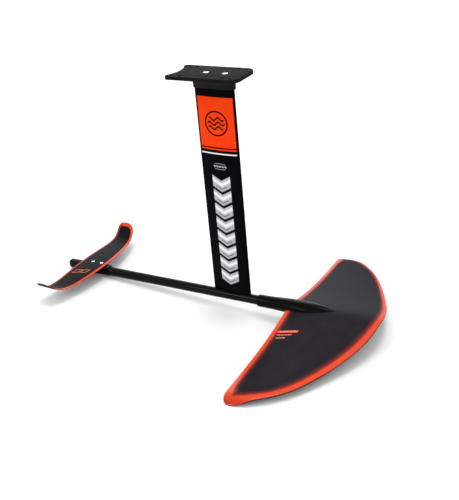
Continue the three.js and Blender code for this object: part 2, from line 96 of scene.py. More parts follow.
class Value:
    """A number socket of a shader; Python's operators on it add Math nodes."""

    def __init__(self, shader: "Shader", socket: bpy.types.NodeSocket) -> None:
        """Keeps the shader that the socket belongs to.

        Args:
            shader: the shader whose tree new nodes go into.
            socket: the output socket that carries the number.
        """
        self.shader = shader
        self.socket = socket

    def math(self, operation: str, *others: "Number", flip: bool = False) -> "Value":
        """Adds one Math node.

        Args:
            operation: the Math node's operation.
            others: the other numbers, as values or floats.
            flip: whether this value comes second.

        Returns:
            The node's result.
        """
        terms = [self, *others]
        if flip:
            terms.reverse()
        node = self.shader.node("ShaderNodeMath", {"operation": operation}, dict(enumerate(terms)))
        return Value(self.shader, node.outputs[0])

    def __add__(self, other: "Number") -> "Value":
        """This value plus another."""
        return self.math("ADD", other)

    __radd__ = __add__

    def __sub__(self, other: "Number") -> "Value":
        """This value less another."""
        return self.math("SUBTRACT", other)

    def __rsub__(self, other: "Number") -> "Value":
        """Another number less this value."""
        return self.math("SUBTRACT", other, flip=True)

    def __mul__(self, other: "Number") -> "Value":
        """This value times another."""
        return self.math("MULTIPLY", other)

    __rmul__ = __mul__

    def __truediv__(self, other: "Number") -> "Value":
        """This value divided by another."""
        return self.math("DIVIDE", other)

    def __abs__(self) -> "Value":
        """This value without its sign."""
        return self.math("ABSOLUTE")

    def __mod__(self, other: "Number") -> "Value":
        """What is left of this value after whole steps of another, never negative."""
        return self.math("FLOORED_MODULO", other)

    def __lt__(self, other: "Number") -> "Value":
        """1 where this value is below another, else 0."""
        return self.math("LESS_THAN", other)

    def floor(self) -> "Value":
        """This value rounded down."""
        return self.math("FLOOR")

    def sine(self) -> "Value":
        """The sine of this value in radians."""
        return self.math("SINE")

    def root(self) -> "Value":
        """The square root of this value."""
        return self.math("SQRT")

    def most(self, other: "Number") -> "Value":
        """The larger of this value and another."""
        return self.math("MAXIMUM", other)

    def rise(self, low: float, high: float) -> "Value":
        """A smooth step from 0 at low to 1 at high.

        Args:
            low: where the step starts.
            high: where the step ends, above low.

        Returns:
            The step's value.
        """
        settings = {"interpolation_type": "SMOOTHSTEP"}
        inputs = {"Value": self, "From Min": low, "From Max": high}
        return Value(self.shader, self.shader.node("ShaderNodeMapRange", settings, inputs).outputs[0])

    def band(self, centre: float, half: float, soft: float) -> "Value":
        """1 within half of a centre, falling to 0 over a soft margin.

        Args:
            centre: the middle of the band.
            half: its half width.
            soft: the width of its margin.

        Returns:
            The band's value.
        """
        away = abs(self - centre)
        return 1.0 - away.rise(half - soft / 2, half + soft / 2)


Number = Union[Value, float, int]
Colour = tuple[float, float, float]
Terms = tuple[tuple[float, int], ...]


class Shader:
    """A material's node tree with its surface shader."""

    def __init__(self, name: str) -> None:
        """Makes an empty material with a Principled surface.

        Args:
            name: the material's name.
        """
        self.material = bpy.data.materials.new(name)
        self.material.use_nodes = True
        self.tree = self.material.node_tree
        self.surface = self.tree.nodes["Principled BSDF"]

    def node(self, kind: str, settings: dict, inputs: dict) -> bpy.types.Node:
        """Adds a node.

        Args:
            kind: the node's type.
            settings: its own settings, set first.
            inputs: its sockets' values or links, by name or number.

        Returns:
            The new node.
        """
        node = self.tree.nodes.new(kind)
        for name, setting in settings.items():
            setattr(node, name, setting)
        for key, given in inputs.items():
            self.feed(node.inputs[key], given)
        return node

    def feed(self, socket: bpy.types.NodeSocket, given: object) -> None:
        """Links or sets one socket.

        Args:
            socket: the socket to feed.
            given: a Value, a socket, or a constant.
        """
        source = given.socket if isinstance(given, Value) else given
        if isinstance(source, bpy.types.NodeSocket):
            self.tree.links.new(source, socket)
        elif socket.type == "RGBA" and len(source) == 3:
            socket.default_value = (*source, 1.0)
        else:
            socket.default_value = source

    def set(self, **inputs: object) -> None:
        """Feeds the surface shader's sockets; an underscore in a name stands for a space."""
        for name, given in inputs.items():
            self.feed(self.surface.inputs[name.replace("_", " ")], given)

    def place(self) -> tuple[Value, Value, Value]:
        """The object's own coordinates, in millimetres."""
        where = self.node("ShaderNodeTexCoord", {}, {}).outputs["Object"]
        parts = self.node("ShaderNodeSeparateXYZ", {}, {0: where})
        x, y, z = (Value(self, socket) / MM for socket in parts.outputs)
        return x, y, z

    def noise(self, size: float, detail: float = 2.0, stretch: Sequence[float] = (1, 1, 1)) -> Value:
        """Noise over the object, from about 0.3 to 0.7.

        Args:
            size: the noise's grain in millimetres.
            detail: how many finer layers it has.
            stretch: how much longer the grain is along each axis.

        Returns:
            The noise's value.
        """
        where = self.node("ShaderNodeTexCoord", {}, {}).outputs["Object"]
        scale = tuple(1 / (size * MM * along) for along in stretch)
        spread = self.node("ShaderNodeMapping", {}, {"Vector": where, "Scale": scale})
        inputs = {"Vector": spread.outputs[0], "Scale": 1.0, "Detail": detail}
        return Value(self, self.node("ShaderNodeTexNoise", {}, inputs).outputs[0])

    def attribute(self, name: str) -> Value:
        """A number stored on the piece's own points."""
        node = self.node("ShaderNodeAttribute", {"attribute_name": name}, {})
        return Value(self, node.outputs["Fac"])

    def mix(self, share: Number, first: object, second: object) -> bpy.types.NodeSocket:
        """Blends two colours.

        Args:
            share: 0 for the first colour, 1 for the second.
            first: a colour or colour socket.
            second: a colour or colour socket.

        Returns:
            The blended colour's socket.
        """
        settings = {"data_type": "RGBA"}
        node = self.node("ShaderNodeMix", settings, {0: share, 6: first, 7: second})
        return node.outputs[2]

    def bump(self, height: Value, depth: float, strength: float = 1.0) -> None:
        """Gives the surface relief.

        Args:
            height: the relief, from 0 to 1.
            depth: its depth in millimetres.
            strength: how much of it shows.
        """
        inputs = {"Height": height, "Distance": depth * MM, "Strength": strength}
        self.set(Normal=self.node("ShaderNodeBump", {}, inputs).outputs[0])


# ---------------------------------------------------------------- finishes


def shade(colour: Colour, share: float, lift: float = 0.0) -> Colour:
    """A colour times a share, plus a little grey."""
    red, green, blue = (part * share + lift for part in colour)
    return red, green, blue


@dataclass(frozen=True)
class Coat:
    """A hard matt or satin coat on metal, with a fine grain and a little unevenness.

    The sheen is the specular level. The grain's size and the relief are in millimetres.
    """

    name: str
    colour: Colour
    roughness: float
    sheen: float
    grain: float
    relief: float

    def material(self) -> bpy.types.Material:
        """Makes the coat's material."""
        shader = Shader(self.name)
        fine = shader.noise(self.grain, 3.0)
        broad = shader.noise(60.0, 2.0)
        dark, light = shade(self.colour, 0.7), shade(self.colour, 1.5, 0.002)
        speck = fine.rise(0.35, 0.7) * 0.7 + broad.rise(0.3, 0.7) * 0.3
        shader.set(
            Base_Color=shader.mix(speck, dark, light),
            Roughness=self.roughness + (broad - 0.5) * 0.12 + (fine - 0.5) * 0.1,
            Specular_IOR_Level=self.sheen,
        )
        shader.bump(fine, self.relief)
        return shader.material


@dataclass(frozen=True)
class Bright:
    """Bare steel or aluminium, finely brushed along X and a little worn."""

    name: str
    colour: Colour
    roughness: float

    def material(self) -> bpy.types.Material:
        """Makes the metal's material."""
        shader = Shader(self.name)
        brushed = shader.noise(0.5, 3.0, stretch=(6, 1, 1))
        worn = shader.noise(3.0, 2.0)
        dull = shade(self.colour, 0.8)
        shader.set(
            Base_Color=shader.mix(brushed.rise(0.3, 0.7), dull, self.colour),
            Metallic=1.0,
            Roughness=self.roughness + (worn - 0.5) * 0.15,
        )
        shader.bump(brushed, 0.02)
        return shader.material


@dataclass(frozen=True)
class Twill:
    """Satin carbon twill with an orange border sprayed along the edges.

    The border follows the piece's "border" number: 0 at the edge and 1 about where the paint
    ends. It fades out between the inner and the outer value. Where the piece's "plain" number is
    1, the surface is smooth black instead. The paint is darker where its "deep" number is 1: a
    painted shade on the front wing's curled-down tips, and a darker rear edge on the stabiliser.
    The tow is a tow's width in millimetres.
    """

    name: str
    low: Colour = (0.0035, 0.0027, 0.0048)
    high: Colour = (0.024, 0.0205, 0.029)
    paint: Colour = (0.7, 0.056, 0.012)
    thin_and_shaded_paint: Colour = (0.385, 0.0168, 0.0048)
    ink: Colour = (0.95, 0.2, 0.08)
    plain: Colour = (0.0012, 0.0011, 0.0015)
    tow: float = 1.9
    inner: float = 0.5
    outer: float = 2.0
    marks: Optional[Callable[[Value, Value], Value]] = None

    def weave(self, x: Value, y: Value) -> tuple[Value, Value]:
        """A two-over-two twill: lengthways tows show where the cell number's sum is 0 or 1 of 4.

        Args:
            x: millimetres along the chord.
            y: millimetres along the span.

        Returns:
            1 on a lengthways tow and 0 on a crossing one, and each tow's rounded height.
        """
        across, along = x / self.tow, y / self.tow
        over = (across.floor() + along.floor()) % 4.0 < 1.5
        crown_x = abs((across * math.pi).sine())
        crown_y = abs((along * math.pi).sine())
        return over, over * crown_x + (1.0 - over) * crown_y

    def material(self) -> bpy.types.Material:
        """Makes the laminate's material."""
        shader = Shader(self.name)
        x, y, _ = shader.place()
        over, crown = self.weave(x, y)
        cloudy = shader.noise(45.0, 2.0)
        tone = over * 0.45 + crown * 0.3 + (cloudy - 0.5) * 0.6
        colour = shader.mix(tone, self.low, self.high)
        border = shader.attribute("border")
        mist = (shader.noise(2.2, 3.0) - 0.5) * 0.14
        cover = 1.0 - (border + mist).rise(self.inner, self.outer)
        painted = cover * cover
        smooth_black = shader.attribute("plain")
        if self.marks:
            colour = shader.mix(self.marks(x, y), colour, self.ink)
        # the darker paint is thin paint where the border fades, and painted shade where "deep" is 1
        # on the front wing's curled-down tips
        full = painted.rise(0.5, 1.0) * (1.0 - shader.attribute("deep") * 0.85)
        colour = shader.mix(painted, colour, shader.mix(full, self.thin_and_shaded_paint, self.paint))
        colour = shader.mix(smooth_black, colour, self.plain)
        woven = (1.0 - painted) * (1.0 - smooth_black)
        shader.set(
            Base_Color=colour,
            Roughness=0.32 + woven * (0.2 - over * 0.06) - smooth_black * 0.12
            + (cloudy - 0.5) * 0.1,
            Specular_IOR_Level=0.06,
            Coat_Weight=painted * (1.0 - smooth_black) * 0.28,
            Coat_Roughness=0.14,
        )
        shader.bump(crown * woven, 0.05, 0.6)
        return shader.material


@dataclass(frozen=True)
class MastPaint:
    """Satin black mast with an orange panel, two thin stripes and plain pale shapes.

    The shapes are a ring with waves, a row of dashes between two lines and a column of chevrons.
    They stand on both sides of the mast. Heights and places are in millimetres. The ring holds
    its height, radius and line width, the badge its height and its half width and half height,
    and the column its foot, its top and its half width.
    """

    name: str
    centre: float
    rear: float
    nose: float
    black: Colour = (0.0006, 0.0006, 0.0011)
    orange: Colour = (0.87, 0.048, 0.004)
    silver: Colour = (0.58, 0.59, 0.61)
    white: Colour = (0.78, 0.78, 0.8)
    panel: tuple[float, float] = (-195.6, -61.3)
    panel_margin: tuple[float, float] = (5.0, 5.5)
    red_stripe: tuple[float, float] = (-203.6, -199.4)
    white_stripe: tuple[float, float] = (-215.2, -211.6)
    ring: tuple[float, float, float] = (-131.0, 32.0, 4.4)
    badge: tuple[float, float, float] = (-249.0, 20.0, 8.0)
    column: tuple[float, float, float] = (-601.0, -279.0, 27.0)
    chevrons: int = 8

    def between(self, value: Value, span: tuple[float, float], soft: float = 0.5) -> Value:
        """1 where a value lies in a span, with a soft margin."""
        middle, half = (span[0] + span[1]) / 2, (span[1] - span[0]) / 2
        return value.band(middle, half, soft)

    def wave_ring(self, x: Value, z: Value) -> Value:
        """A ring with three waves in it.

        Args:
            x: millimetres from the mast's middle.
            z: height in millimetres.

        Returns:
            1 on the ring and the waves.
        """
        height, radius, line = self.ring
        wave_length, wave_height, wave_half, half_pitch = 25.0, 4.0, 2.6, 6.0
        reach, soft = 16.5, 0.6
        up = z - height
        away = (x * x + up * up).root()
        ring = away.band(radius, line / 2, soft)
        swell = (x * (2 * math.pi / wave_length)).sine() * wave_height
        row = ((up - swell + half_pitch) % (2 * half_pitch)) - half_pitch
        waves = row.band(0.0, wave_half, soft) * (1.0 - away.rise(radius - 7, radius - 6))
        inside = 1.0 - abs(up - swell).rise(reach, reach + soft)
        return ring.most(waves * inside)

    def chevron_column(self, x: Value, z: Value) -> tuple[Value, Value]:
        """A column of chevrons that point down, one under another.

        Args:
            x: millimetres from the mast's middle.
            z: height in millimetres.

        Returns:
            1 on the chevrons, and 1 on a painted highlight along their middles.
        """
        low, high, half = self.column
        slope, lift, soft = 0.55, 6.0, 0.8
        pitch = (high - low) / self.chevrons
        climb = z - low - abs(x) * slope + lift
        cell = (climb % pitch) - pitch / 2
        slit = (cell + pitch * 0.2).band(0.0, 1.0, soft) * x.band(0.0, half * 0.62, soft)
        stripe = cell.band(0.0, pitch * 0.4, soft) * (1.0 - slit)
        # painted highlight: a band along each chevron's middle that is painted lighter, as if a bevel
        # caught the light
        painted_highlight = cell.band(pitch * 0.1, pitch * 0.12, pitch * 0.2)
        column = x.band(0.0, half, soft) * self.between(climb, (0.0, high - low), soft)
        return stripe * column, painted_highlight * column

    def dash_row(self, x: Value, z: Value) -> Value:
        """A row of slanted dashes between two bowed lines, 1 on all of them."""
        height, half_width, half_height = self.badge
        half_pitch, slant, soft = 4.0, 0.4, 0.5
        up = z - height
        bow = x * x * 0.006
        lines = (abs(up) + bow).band(half_height, 0.55, 0.6) * x.band(0.0, half_width * 0.8, 0.6)
        cell = (x + up * slant + half_pitch) % (2 * half_pitch) - half_pitch
        dashes = up.band(0.0, 2.4, soft) * cell.band(0.0, 2.7, soft)
        return lines.most(dashes * x.band(0.0, half_width, soft))

    def material(self) -> bpy.types.Material:
        """Makes the mast's material."""
        shader = Shader(self.name)
        x, _, z = shader.place()
        along = x - self.centre
        fine = shader.noise(0.8, 3.0)
        streak = shader.noise(5.0, 2.0, stretch=(1, 1, 14))
        flecks = fine.rise(0.55, 0.72) * 0.5 + streak.rise(0.4, 0.7) * 0.25
        base = shader.mix(flecks, self.black, shade(self.black, 2.5, 0.0014))
        margin_rear, margin_nose = self.panel_margin
        wide = self.between(x, (self.rear + margin_rear, self.nose - margin_nose))
        panel = self.between(z, self.panel) * wide
        red = self.between(z, self.red_stripe) * wide
        white = self.between(z, self.white_stripe) * wide
        stripe, painted_highlight = self.chevron_column(along, z)
        pale = stripe.most(self.dash_row(along, z))
        worn = shader.noise(9.0, 4.0).rise(0.35, 0.75)
        orange = shader.mix(worn, shade(self.orange, 0.93), self.orange)
        uncovered = 1.0 - self.wave_ring(along, z)
        colour = shader.mix((panel * uncovered).most(red), base, orange)
        colour = shader.mix(white, colour, self.white)
        # painted highlight and shade: the pale shapes are painted a darker silver, and a lighter one
        # along the chevrons' middles, as if bevelled and lit
        silver = shader.mix(painted_highlight, shade(self.silver, 0.7), shade(self.silver, 1.35))
        colour = shader.mix(pale, colour, silver)
        print_mask = panel.most(white).most(pale).most(red)
        shader.set(
            Base_Color=colour,
            Roughness=0.46 - print_mask * 0.08 + (fine - 0.5) * 0.12,
            Specular_IOR_Level=0.025,
        )
        shader.bump(fine * 0.6 + print_mask * 0.4, 0.05, 0.7)
        return shader.material


# ---------------------------------------------------------------- surfaces


def link(name: str, points: np.ndarray, faces: Sequence[Sequence[int]]) -> bpy.types.Object:
    """Puts points and faces into a new piece.

    Args:
        name: the piece's name.
        points: an array of corners, three numbers each.
        faces: the corner numbers of each face.

    Returns:
        The new object, at the origin.
    """
    mesh = bpy.data.meshes.new(name)
    mesh.from_pydata(points.reshape(-1, 3), [], faces)
    mesh.update()
    piece = bpy.data.objects.new(name, mesh)
    bpy.context.scene.collection.objects.link(piece)
    return piece


def clean(piece: bpy.types.Object) -> bpy.types.Object:
    """Merges doubled corners, drops collapsed faces and turns all faces out."""
    mesh = bmesh.new()
    mesh.from_mesh(piece.data)
    bmesh.ops.remove_doubles(mesh, verts=mesh.verts, dist=MERGE)
    bmesh.ops.dissolve_degenerate(mesh, edges=mesh.edges, dist=MERGE)
    bmesh.ops.recalc_face_normals(mesh, faces=mesh.faces)
    mesh.to_mesh(piece.data)
    mesh.free()
    return piece


def ring_faces(rows: int, count: int) -> np.ndarray:
    """The four-sided faces between neighbouring closed rings.

    Args:
        rows: how many rings there are.
        count: how many points each has.

    Returns:
        An array of corner numbers, four to a face.
    """
    row, k = np.meshgrid(np.arange(rows - 1), np.arange(count), indexing="ij")
    here, there = row * count + k, row * count + (k + 1) % count
    return np.stack([here, there, there + count, here + count], axis=-1).reshape(-1, 4)


def skin(name: str, rings: np.ndarray) -> bpy.types.Object:
    """Joins rings into a closed body with a fan of faces at each end.

    Args:
        name: the piece's name.
        rings: an array of rings by points by three numbers.

    Returns:
        The closed piece.
    """
    rows, count, _ = rings.shape
    hubs = np.stack([rings[0].mean(axis=0), rings[-1].mean(axis=0)])
    points = np.concatenate([rings.reshape(-1, 3), hubs])
    k = np.arange(count)
    step, last = (k + 1) % count, (rows - 1) * count
    start = np.stack([np.full(count, rows * count), step, k], axis=-1)
    finish = np.stack([np.full(count, rows * count + 1), last + k, last + step], axis=-1)
    faces = [*ring_faces(rows, count).tolist(), *start.tolist(), *finish.tolist()]
    return clean(link(name, points, faces))


def lathe(name: str, profile: Sequence[Sequence[float]], x: float,
          sides: int = 64) -> bpy.types.Object:
    """Turns a profile about an upright line: each point's radius times cosine and sine of the turn.

    Args:
        name: the piece's name.
        profile: radius and height of each point, from axis to axis.
        x: where the line stands along X.
        sides: how many steps there are round the turn.

    Returns:
        The closed piece.
    """
    radius, height = np.array(profile, dtype=float).T
    turn = turns(sides)
    rings = np.stack([
        x + radius[:, None] * np.cos(turn),
        radius[:, None] * np.sin(turn),
        np.repeat(height[:, None], sides, axis=1),
    ], axis=-1)
    return skin(name, rings)


def post(x: float, radius: float, low: float, high: float, sides: int = 64) -> bpy.types.Object:
    """An upright cylinder, used as a cutting tool."""
    return lathe("tool", [(radius, low), (radius, high)], x, sides)


def box(low: Sequence[float], high: Sequence[float]) -> bpy.types.Object:
    """A block between two corners, used as a tool: a four-sided ring at each end of X."""
    (x0, y0, z0), (x1, y1, z1) = low, high
    ring = np.array([(y0, z0), (y1, z0), (y1, z1), (y0, z1)])
    ends = np.array([x0, x1])
    rings = np.concatenate([
        np.repeat(ends[:, None, None], 4, axis=1),
        np.repeat(ring[None], 2, axis=0),
    ], axis=-1)
    return skin("tool", rings)


def combine(piece: bpy.types.Object, tool: bpy.types.Object, cut: Cut) -> bpy.types.Object:
    """Joins a tool to a piece, or cuts it away, and removes the tool.

    Args:
        piece: the piece to change.
        tool: a closed body.
        cut: what the tool does.

    Returns:
        The changed piece.
    """
    step = piece.modifiers.new("combine", "BOOLEAN")
    step.object = tool
    step.operation = cut.value
    step.solver = "EXACT"
    ready = piece.evaluated_get(bpy.context.evaluated_depsgraph_get())
    mesh = bpy.data.meshes.new_from_object(ready)
    piece.modifiers.clear()
    piece.data = mesh
    bpy.data.objects.remove(tool)
    return piece


def smooth(piece: bpy.types.Object, angle: float = 32.0) -> bpy.types.Object:
    """Shades a piece smooth but for edges that turn more than an angle in degrees."""
    mesh = piece.data
    mesh.polygons.foreach_set("use_smooth", np.ones(len(mesh.polygons), dtype=bool))
    mesh.set_sharp_from_angle(angle=math.radians(angle))
    mesh.update()
    return piece


def offset_loop(loop: np.ndarray, inward: float) -> np.ndarray:
    """Moves a closed flat loop sideways along its own normals.

    Args:
        loop: an array of X and Y, anticlockwise.
        inward: how far to move towards the inside.

    Returns:
        The moved loop.
    """
    tangent = np.roll(loop, -1, axis=0) - np.roll(loop, 1, axis=0)
    tangent /= np.linalg.norm(tangent, axis=1, keepdims=True)
    return loop + inward * np.stack([-tangent[:, 1], tangent[:, 0]], axis=-1)


def slab(name: str, loops: Sequence[np.ndarray], low: float, high: float, edge: float,
         steps: int = 4) -> bpy.types.Object:
    """Raises an outline with holes into a slab whose edges are rounded by quarter circles.

    Each loop's wall is the loop moved sideways by edge times one less cosine, at a height of
    edge times one less sine from the face, for a quarter turn at each face.

    Args:
        name: the piece's name.
        loops: the outline, anticlockwise, then the holes, clockwise.
        low: height of the lower face.
        high: height of the upper face.
        edge: radius of the rounded edges.
        steps: how many steps each quarter circle has.

    Returns:
        The closed piece.
    """
    turn = np.linspace(0, np.pi / 2, steps + 1)
    inward = edge * (1 - np.cos(turn))
    rise = edge * (1 - np.sin(turn))
    sideways = np.concatenate([inward[::-1], inward])
    heights = np.concatenate([(low + rise)[::-1], high - rise])
    points, faces, start = [], [], 0
    for loop in loops:
        rows = [np.column_stack([offset_loop(loop, side), np.full(len(loop), z)])
                for side, z in zip(sideways, heights)]
        points.append(np.concatenate(rows))
        faces += (ring_faces(len(rows), len(loop)) + start).tolist()
        start += len(rows) * len(loop)
    piece = link(name, np.concatenate(points), faces)
    mesh = bmesh.new()
    mesh.from_mesh(piece.data)
    for z in (low, high):
        rim = [e for e in mesh.edges if e.is_boundary and abs(e.verts[0].co.z - z) < 1e-7]
        bmesh.ops.triangle_fill(mesh, use_beauty=True, edges=rim)
    mesh.to_mesh(piece.data)
    mesh.free()
    return clean(piece)


def superellipse(turn: np.ndarray, power: Union[float, np.ndarray]) -> tuple[np.ndarray, np.ndarray]:
    """Cosine and sine of a turn, each raised to 2 over a power with its sign kept."""
    share = 2 / np.asarray(power)
    across, up = np.cos(turn), np.sin(turn)
    return np.sign(across) * np.abs(across) ** share, np.sign(up) * np.abs(up) ** share


def ease(share: np.ndarray) -> np.ndarray:
    """A smooth step: three times the square less twice the cube."""
    held = np.clip(share, 0, 1)
    return held * held * (3 - 2 * held)


def series(e: np.ndarray, terms: Terms) -> np.ndarray:
    """The sum of each term's factor times the share to the term's power."""
    return sum(factor * e ** power for factor, power in terms)


def turns(count: int, start: float = 0.0) -> np.ndarray:
    """Even steps round a full turn, in radians, from a start given in steps."""
    return (np.arange(count) + start) * (2 * np.pi / count)


def hoops(x: np.ndarray, half: np.ndarray, low: np.ndarray, high: np.ndarray,
          around: tuple[np.ndarray, np.ndarray]) -> np.ndarray:
    """Rings across X: the half width times the first share, the half height times the second.

    Args:
        x: where each ring stands along X.
        half: each ring's half width.
        low: each ring's lowest height.
        high: each ring's highest height.
        around: the sideways and the upward share of each point, from -1 to 1.

    Returns:
        An array of rings by points by three numbers.
    """
    across, up = around
    return np.stack([
        np.repeat(x[:, None], across.shape[-1], axis=1),
        half[:, None] * across,
        ((low + high) / 2)[:, None] + ((high - low) / 2)[:, None] * up,
    ], axis=-1)


def coat(piece: bpy.types.Object, material: bpy.types.Material) -> None:
    """Gives a piece one material in place of what it has."""
    piece.data.materials.clear()
    piece.data.materials.append(material)


def dress(piece: bpy.types.Object, material: bpy.types.Material, slot: str, node: str) -> None:
    """Gives a finished piece its material and its place in the frame.

    Args:
        piece: the finished piece.
        material: its material.
        slot: the name of its material slot, which is only logged.
        node: the CAD node that it stands for.
    """
    coat(piece, material)
    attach(piece, ROOT)
    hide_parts(node)
    LOG.info("%s: %d faces, slot %s", piece.name, len(piece.data.polygons), slot)


def carve(piece: bpy.types.Object, tools: Iterable[bpy.types.Object]) -> bpy.types.Object:
    """Cuts tools away from a piece, one after another, each made only when its turn comes."""
    for tool in tools:
        piece = combine(piece, tool, Cut.REMOVE)
    return piece


def sink(x: float, wide: tuple[float, float], narrow: tuple[float, float], top: float,
         bottom: float) -> bpy.types.Object:
    """The tool for a countersunk screw hole: a wide mouth, a cone and a narrow bore.

    Args:
        x: where the hole stands along X.
        wide: the mouth's radius and the height where the cone starts.
        narrow: the bore's radius and the height where the cone ends.
        top: the tool's top.
        bottom: the tool's foot.

    Returns:
        The closed tool.
    """
    return lathe("tool", [(wide[0], top), wide, narrow, (narrow[0], bottom)], x)


def distance_to_outline(points: np.ndarray, outline: np.ndarray) -> np.ndarray:
    """How far each point is from the nearest stretch of a closed outline.

    Args:
        points: an array of X and Y.
        outline: the outline's X and Y, in order.

    Returns:
        One distance for each point.
    """
    start, run = outline, np.roll(outline, -1, axis=0) - outline
    length = np.maximum((run ** 2).sum(axis=1), 1e-18)
    nearest = np.full(len(points), np.inf)
    for part in np.array_split(np.arange(len(points)), max(1, len(points) // 4000)):
        gap = points[part, None] - start[None]
        share = np.clip((gap * run[None]).sum(axis=2) / length, 0, 1)
        away = np.linalg.norm(gap - share[..., None] * run[None], axis=2)
        nearest[part] = away.min(axis=1)
    return nearest


# ---------------------------------------------------------------- lifting surfaces


@dataclass
class LiftingSurface:
    """A wing with foil sections across its span and a painted border."""

    name: str
    slot: str
    span_steps: int = 200
    section_steps: int = 44
    thickness: float = 0.078
    camber: float = 0.01
    trailing_half: float = 0.6 * MM
    tip_start: float = 0.957
    tip_centre: float = 0.39
    tip_power: float = 2.0
    lead_border: float = 17 * MM
    trail_border: float = 14 * MM
    tip_border: float = 14 * MM
    port_share: float = 1.0
    port_fade: float = 0.0
    border_turn: float = 120 * MM
    dark_lip: float = 1.6 * MM
    last: float = 0.9985

    def __post_init__(self) -> None:
        """Reads the piece's own box from the frame."""
        low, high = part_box(self.name)
        self.low, self.high = np.array(low), np.array(high)
        self.half_span = self.high[1] / self.last

    def edges(self, e: np.ndarray) -> tuple[np.ndarray, np.ndarray, np.ndarray]:
        """Rear edge, front edge and height at a share of the half span."""
        raise NotImplementedError

    def rounded(self, e: np.ndarray) -> tuple[np.ndarray, np.ndarray, np.ndarray]:
        """The edges, drawn together over the tip as a superellipse of the tip's power.

        Args:
            e: shares of the half span.

        Returns:
            Rear edge, front edge and height.
        """
        rear, front, height = self.edges(e)
        along = np.clip((e - self.tip_start) / (1 - self.tip_start), 0, 1)
        opening = np.clip(1 - along ** self.tip_power, 0, 1) ** (1 / self.tip_power)
        middle = rear + (front - rear) * self.tip_centre
        return middle + (rear - middle) * opening, middle + (front - middle) * opening, height

    def section_half(self, s: np.ndarray, chord: np.ndarray) -> np.ndarray:
        """Half the section's thickness at shares of the chord.

        It is 5 times the thickness ratio and the chord times (0.2969 root s - 0.126 s
        - 0.3516 s^2 + 0.2843 s^3 - 0.1036 s^4), and a little more for a blunt rear edge.

        Args:
            s: shares of the chord from the front.
            chord: the chord at each.

        Returns:
            Half thicknesses.
        """
        shape = (0.2969 * np.sqrt(s) - 0.126 * s - 0.3516 * s ** 2 + 0.2843 * s ** 3
                 - 0.1036 * s ** 4)
        blunt = self.trailing_half * s * np.minimum(1, chord / (40 * MM))
        return 5 * self.thickness * chord * shape + blunt

    def surface(self) -> bpy.types.Object:
        """The wing's skin: a foil section about a parabola at each station of the span.

        Returns:
            The closed wing.
        """
        e = self.last * np.sin(np.linspace(-np.pi / 2, np.pi / 2, self.span_steps + 1))
        rear, front, height = (line[:, None] for line in self.rounded(np.abs(e)))
        s = (1 - np.cos(np.linspace(0, np.pi, self.section_steps + 1))) / 2
        around = np.concatenate([s[::-1], s[1:]])
        side = np.where(np.arange(len(around)) <= self.section_steps, 1.0, -1.0)
        chord = front - rear
        arch = 4 * self.camber * chord * around * (1 - around)
        x = front - around * chord
        y = np.repeat((e * self.half_span)[:, None], len(around), axis=1)
        z = height + arch + side * self.section_half(around, chord)
        return skin(self.name + "_fine", np.stack([x, y, z], axis=-1))

    def outline(self) -> np.ndarray:
        """The planform's closed outline in X and Y, rear edge out and front edge back."""
        e = np.sin(np.linspace(-np.pi / 2, np.pi / 2, 401))
        rear, front, _ = self.rounded(np.abs(e))
        y = e * self.half_span
        return np.concatenate([np.column_stack([rear, y]), np.column_stack([front, y])[::-1]])

    def border(self, points: np.ndarray) -> np.ndarray:
        """The painted border at points: the distance to the edge over the border's local width.

        The width runs from the front border's to the rear border's along the chord and grows
        towards the tip. To port it is narrower by the port's own share.

        Args:
            points: an array of corners, three numbers each.

        Returns:
            0 at the edge and 1 where the paint ends, and 2 more on the underside.
        """
        tip_start, narrowing_back, lip_end = 0.82, 0.6, 0.15
        e = np.clip(np.abs(points[:, 1]) / self.half_span, 0, 1)
        rear, front, height = self.edges(e)
        s = np.clip((front - points[:, 0]) / (front - rear), 0, 1)
        width = self.lead_border + (self.trail_border - self.lead_border) * ease(s)
        width = width + self.tip_border * ease((e - tip_start) / (1 - tip_start))
        port = ease(points[:, 1] / self.border_turn + 0.5)
        narrowing = 1 - self.port_share + self.port_fade * e
        narrowing = narrowing * (1 - narrowing_back * ease(s))
        width = width * (1 - port * narrowing)
        value = distance_to_outline(points[:, :2], self.outline()) / width
        chord_line = height + 4 * self.camber * (front - rear) * s * (1 - s)
        lip = self.dark_lip * (1 - ease(s / lip_end))
        below = ease((chord_line + lip - points[:, 2]) / (0.5 * MM) + 0.5)
        return value + 2 * below

    def deepening(self, points: np.ndarray) -> np.ndarray:
        """Painted shade: how far the paint deepens to dark red towards the very tips, which curl
        down.
        """
        start = 0.93
        return ease((np.abs(points[:, 1]) / self.half_span - start) / (1 - start))

    def on_fairing(self, points: np.ndarray) -> np.ndarray:
        """Whether each point is on a fairing, which this surface hasn't got."""
        return np.zeros(len(points), dtype=bool)

    def paint(self, piece: bpy.types.Object) -> bpy.types.Object:
        """Stores where the border, the fairing and the darker paint are on the piece's points; on the
        front wing's tips the darker paint is painted shade.
        """
        mesh = piece.data
        points = np.empty(len(mesh.vertices) * 3, dtype=np.float32)
        mesh.vertices.foreach_get("co", points)
        places = points.reshape(-1, 3).astype(float)
        numbers = {"border": self.border(places), "plain": self.on_fairing(places),
                   "deep": self.deepening(places)}
        for name, values in numbers.items():
            attribute = mesh.attributes.new(name, "FLOAT", "POINT")
            attribute.data.foreach_set("value", values.astype(np.float32))
        return piece


